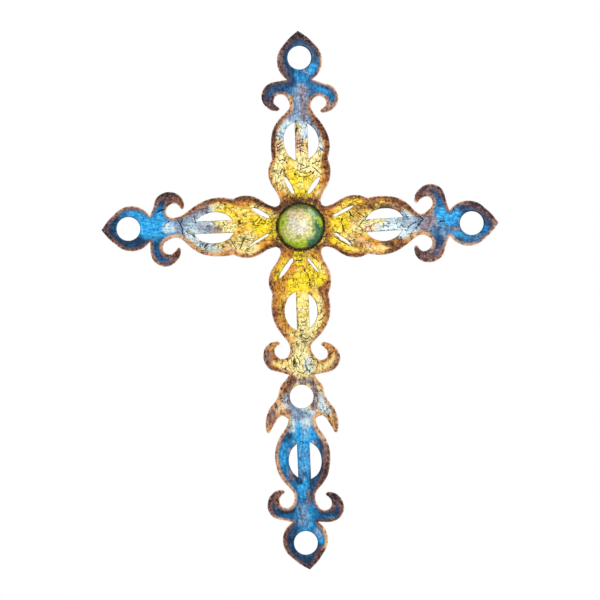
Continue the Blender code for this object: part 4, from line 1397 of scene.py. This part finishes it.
    def _relief(self, points: np.ndarray, edge: np.ndarray) -> np.ndarray:
        """Gives how far the front lies over the solid's front.

        Args:
            points: The front's points.
            edge: Their distance from the nearest cut edge.

        Returns:
            The height of each point.
        """
        down = np.clip(1 - edge / self.edge_radius, 0.0, 1.0)
        rounded = self.edge_radius * (np.sqrt(1 - down**2) - 1)
        bead = self.bead_height * np.exp(-(((edge - self.bead_at) / self.bead_width) ** 2))
        height, apart = self.beaten
        fine_height, fine_apart = self.grain
        swells = height * fractal(points, apart, 3.0, 3) + fine_height * fractal(points, fine_apart, 5.0, 2)
        return rounded + bead + (swells - self.field_depth) * (1 - falling(edge, 0.0, 2.0))

    def _walls(self, lines: CutLines) -> Walls:
        """Makes the side walls and the back.

        Args:
            lines: The cut lines.

        Returns:
            Their points and faces.
        """
        outline = np.vstack(lines.loops)
        count = len(outline)
        coarse = lines.lattice(self.back_spacing)
        coarse = coarse[distance_to_loops(coarse, lines.loops) > 0.5 * self.back_spacing]
        inset = [inward(loop, self.back_chamfer) for loop in lines.loops]
        back_points, back = filled(inset, coarse)
        quads = []
        for a, b in ring_pairs(map(len, lines.loops)):
            quads.append((b, a, a + count, b + count))
            quads.append((b + count, a + count, a + 2 * count, b + 2 * count))
        verts = np.vstack([standing(outline, -self.back_chamfer), standing(back_points, 0.0)])
        flat = np.vstack([outline, back_points])
        return Walls(verts, flat, quads, [triangle[::-1] for triangle in back], count)

    def _layers(self, flat: np.ndarray, rim: np.ndarray, hole: np.ndarray, crack: np.ndarray,
                walls: Walls) -> dict[str, np.ndarray]:
        """Works out what the material reads at each point.

        Args:
            flat: All points, seen from the front.
            rim: The front points' distance from the outer edge.
            hole: Their distance from the nearest opening.
            crack: How far each front point is down a crack.
            walls: The walls and the back.

        Returns:
            The numbers at all points, by the layer's name.
        """
        rest = np.zeros(len(flat) - len(rim))
        upright = np.abs(flat[:, 1]) >= np.abs(flat[:, 0])
        signed = np.where(upright, flat[:, 1], flat[:, 0])
        back = np.ones(len(rest))
        back[:walls.border] = self.wall_back
        ahead, up = self.arm_shift
        layers = {
            "along": np.abs(signed) + np.where(signed > 0, ahead, 0.0) + np.where(upright, up, 0.0),
            "out": np.where(upright, flat[:, 0], flat[:, 1]),
            "rim": np.concatenate([rim, rest]),
            "hole": np.concatenate([hole, rest]),
            "crack": np.concatenate([crack, rest]),
            "back": np.concatenate([np.zeros(len(rim)), back]),
            **brushed(flat, PLATE_STROKES),
        }
        blues = [layers[paint.value] for paint in (Paint.AZURE, Paint.SKY, Paint.NAVY, Paint.LILAC)]
        layers["blue"] = np.max(blues, axis=0)
        layers["cool"] = np.max([*blues, layers[Paint.ICE.value], layers[Paint.MAUVE.value]], axis=0)
        faint, low_depth, low_shade = self.unburnt
        weight = np.full(len(flat), faint)
        depth = weight * low_depth
        shade = weight * low_shade
        for burn in BURNS:
            away = np.hypot(*(flat - burn.at).T)
            share = np.exp(-((away / burn.spread) ** 2))
            weight += share
            depth += share * burn.depth
            shade += share * burn.shade
        layers["burn"] = depth / weight
        layers["shade"] = shade / weight
        return layers


@dataclass
class CentreDome:
    """The pressed dome and the scorched seam around its foot.

    Lengths are in millimetres.

    Attributes:
        node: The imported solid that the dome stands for.
        foot_width: How far the seam stands out from the dome.
        wall: The dome's thickness.
        pressed_in: How far its skin lies inside the solid.
        dents: The height of its dents, and the distance between them.
        sides: How many points each of its rings has.
        rings: How many rings it has.
        seam_sides: How many sections the seam has.
        seam_points: How many points each of them has.
        seam_at: How far the seam's middle lies outside the dome, as a share of the foot's width.
        seam_wide: Half the seam's width, as such a share.
        seam_level: How high its middle is over the dome's foot.
        seam_high: Half its height.
        seam_sunk: How far it may reach below the dome's foot.
        seam_over: How far it may reach beyond the foot's width.
        lumps: How much its thickness varies, as a share of it, and the distance between lumps.
        knobs: Where small lumps sit on the seam, in degrees from the right, anticlockwise.
        knob_height: How much thicker they make it, as a share of it.
        knob_width: How far they fall off to each side, in radians.
    """

    node: str = "centre_dome"
    foot_width: float = 2.2
    wall: float = 1.2
    pressed_in: float = 0.15
    dents: tuple[float, float] = (0.14, 9.0)
    sides: int = 160
    rings: int = 48
    seam_sides: int = 360
    seam_points: int = 14
    seam_at: float = 0.2
    seam_wide: float = 0.42
    seam_level: float = 0.8
    seam_high: float = 1.1
    seam_sunk: float = 0.25
    seam_over: float = 0.2
    lumps: tuple[float, float] = (0.22, 3.2)
    knobs: tuple[float, ...] = (12, 43, 58, 97, 131, 168, 200, 231, 262, 301, 333)
    knob_height: float = 0.45
    knob_width: float = 0.035
    finish: DomeFinish = field(default_factory=DomeFinish)
    seam_finish: SeamFinish = field(default_factory=SeamFinish)

    def build(self) -> list[bpy.types.Object]:
        """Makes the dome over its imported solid, and its seam.

        Returns:
            The dome and the seam.
        """
        low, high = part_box(self.node)
        self.seat = high[1] / MM
        self.height = (high[1] - low[1]) / MM
        self.radius = (high[0] - low[0]) / 2 / MM - self.foot_width
        dome = self._cap()
        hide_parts(self.node)
        seam = self._seam()
        for piece in (dome, seam):
            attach(piece, "root")
        return [dome, seam]

    def _arc(self, radius: float, height: float) -> np.ndarray:
        """Gives a round cap's section.

        Args:
            radius: The cap's radius at its foot.
            height: Its height.

        Returns:
            Distances from the axis and heights, from the top to the foot.
        """
        ball = (radius**2 + height**2) / (2 * height)
        angles = np.linspace(0.0, math.asin(radius / ball), self.rings + 1)
        return np.column_stack([ball * np.sin(angles), height - ball + ball * np.cos(angles)])

    def _cap(self) -> bpy.types.Object:
        """Makes the hollow cap, with the faint dents of the press.

        Returns:
            The dome.
        """
        outside = self._arc(self.radius, self.height)[1:]
        inside = self._arc(self.radius - self.wall, self.height - self.wall)[:0:-1]
        section = np.vstack([outside, inside])
        ring = circle(self.sides)
        flat = np.vstack([reach * ring for reach in section[:, 0]])
        level = np.repeat(section[:, 1], self.sides)
        rise = level / self.height
        rise[len(outside) * self.sides:] = 0.0
        height, apart = self.dents
        level += (height * fractal(flat, apart, 11.0, 2) - self.pressed_in) * rise
        last = (len(section) - 1) * self.sides
        faces = [
            (first + i, first + i + self.sides, first + j + self.sides, first + j)
            for first in range(0, last, self.sides)
            for i, j in ring_pairs([self.sides])
        ]
        top = last + self.sides
        for i, j in ring_pairs([self.sides]):
            faces.append((top, i, j))
            faces.append((top + 1, last + j, last + i))
        flat = np.vstack([flat, np.zeros((2, 2))])
        level = np.append(level, [self.height - self.pressed_in, self.height - self.wall])
        layers = brushed(flat, DOME_STROKES)
        layers["low"] = np.hypot(*flat.T) / self.radius
        verts = standing(flat, self.seat - level) * MM
        return add_piece("enamelled_dome", verts, faces, layers, self.finish.build())

    def _seam(self) -> bpy.types.Object:
        """Makes the lumpy ring of metal that holds the dome to the plate.

        Returns:
            The seam.
        """
        ring = circle(self.seam_sides)
        share, apart = self.lumps
        swell = 1 + share * fractal(ring * 27, apart, 17.0, 3)
        for knob in self.knobs:
            turn = turns(self.seam_sides) - math.radians(knob)
            away = np.abs((turn + math.pi) % math.tau - math.pi)
            swell += self.knob_height * np.exp(-((away / self.knob_width) ** 2))
        across = circle(self.seam_points)
        middle = self.radius + self.seam_at * self.foot_width
        reach = middle + np.outer(self.seam_wide * self.foot_width * swell, across[:, 0])
        reach = np.minimum(reach, self.radius + self.foot_width + self.seam_over)
        level = self.seam_level + np.outer(self.seam_high * swell, across[:, 1])
        level = np.maximum(level, -self.seam_sunk)
        flat = np.column_stack([(reach * ring[:, [axis]]).ravel() for axis in (0, 1)])
        verts = standing(flat, self.seat - level.ravel()) * MM
        count = self.seam_points
        faces = [
            (i * count + k, i * count + m, j * count + m, j * count + k)
            for i, j in ring_pairs([self.seam_sides])
            for k, m in ring_pairs([count])
        ]
        return add_piece("dome_seam", verts, faces, {}, self.seam_finish.build())


# The studio.


@dataclass
class Studio:
    """A plain pale floor, soft light from the upper right, and the photograph's view.

    Attributes:
        photo_side: The photograph's width and height, in pixels.
        pixel: One pixel of it on the cross, in metres.
        hub_pixel: Where the dome's middle is in it.
        roll: How far the cross leans anticlockwise in it, in degrees.
        distance: How far away the camera stands, in metres.
        floor_level: The floor's height, in metres.
        floor_radius: How far the round floor reaches, in metres: less than the front view would show.
        floor_sides: How many sides the floor has.
        room_light: How bright the white room is for all but the camera.
        lamp_at: Where the lamp hangs, in metres.
        lamp_size: How wide it is, in metres.
        lamp_power: Its power, in watts.
    """

    photo_side: float = 600.0
    pixel: float = 1.1152 * MM
    hub_pixel: Place = (300.7, 226.6)
    roll: float = 0.8
    distance: float = 4.2
    floor_level: float = -1.0
    floor_radius: float = 6.5
    floor_sides: int = 96
    room_light: float = 0.40
    lamp_at: tuple[float, float, float] = (0.75, -2.3, 0.95)
    lamp_size: float = 1.3
    lamp_power: float = 49.0

    def build(self) -> None:
        """Sets up the floor, the light and the camera."""
        self._floor()
        self._light()
        self._camera()
        bpy.context.scene.view_settings.view_transform = "Standard"
        log.info("studio: floor, sky, key light and camera")

    def _floor(self) -> None:
        """Lays the floor, well below the view."""
        ring = self.floor_radius * circle(self.floor_sides)
        verts = np.column_stack([ring, np.full(self.floor_sides, self.floor_level)])
        floor = add_piece("floor", verts, [range(self.floor_sides)], {}, FloorFinish().build())

    def _light(self) -> None:
        """Hangs a large soft lamp at the upper right, in a white room."""
        world = bpy.data.worlds.new("white room")
        world.use_nodes = True
        bpy.context.scene.world = world
        tree = world.node_tree
        sky = tree.nodes["Background"]
        sky.inputs["Color"].default_value = (1.0, 1.0, 1.0, 1.0)
        path = tree.nodes.new("ShaderNodeLightPath")
        level = tree.nodes.new("ShaderNodeMapRange")
        level.inputs["To Min"].default_value = self.room_light
        level.inputs["To Max"].default_value = 1.0
        tree.links.new(path.outputs["Is Camera Ray"], level.inputs["Value"])
        tree.links.new(level.outputs["Result"], sky.inputs["Strength"])
        lamp = bpy.data.lights.new("key", "AREA")
        lamp.shape = "DISK"
        lamp.size = self.lamp_size
        lamp.energy = self.lamp_power
        key = bpy.data.objects.new("key", lamp)
        key.location = self.lamp_at
        key.rotation_euler = Vector(key.location).to_track_quat("Z", "Y").to_euler()
        bpy.context.scene.collection.objects.link(key)

    def _camera(self) -> None:
        """Aims a long lens straight at the front, as the photograph was taken."""
        lean = math.radians(self.roll)
        right = Vector((math.cos(lean), 0.0, -math.sin(lean)))
        up = Vector((math.sin(lean), 0.0, math.cos(lean)))
        back = Vector((0.0, -1.0, 0.0))
        middle = self.photo_side / 2
        aim = right * (middle - self.hub_pixel[0]) * self.pixel
        aim += up * (self.hub_pixel[1] - middle) * self.pixel
        data = bpy.data.cameras.new("camera")
        data.sensor_width = 36.0
        data.lens = data.sensor_width * self.distance / (self.photo_side * self.pixel)
        data.clip_end = 50.0
        camera = bpy.data.objects.new("camera", data)
        turn = Matrix((right, up, back)).transposed()
        camera.matrix_world = Matrix.Translation(aim + back * self.distance) @ turn.to_4x4()
        bpy.context.scene.collection.objects.link(camera)
        bpy.context.scene.camera = camera


def main() -> None:
    """Builds the cross and its studio."""
    logging.basicConfig(level=logging.INFO, format="%(name)s: %(message)s")
    Studio().build()
    CrossPlate().build()
    CentreDome().build()


if __name__ == "__main__":
    main()
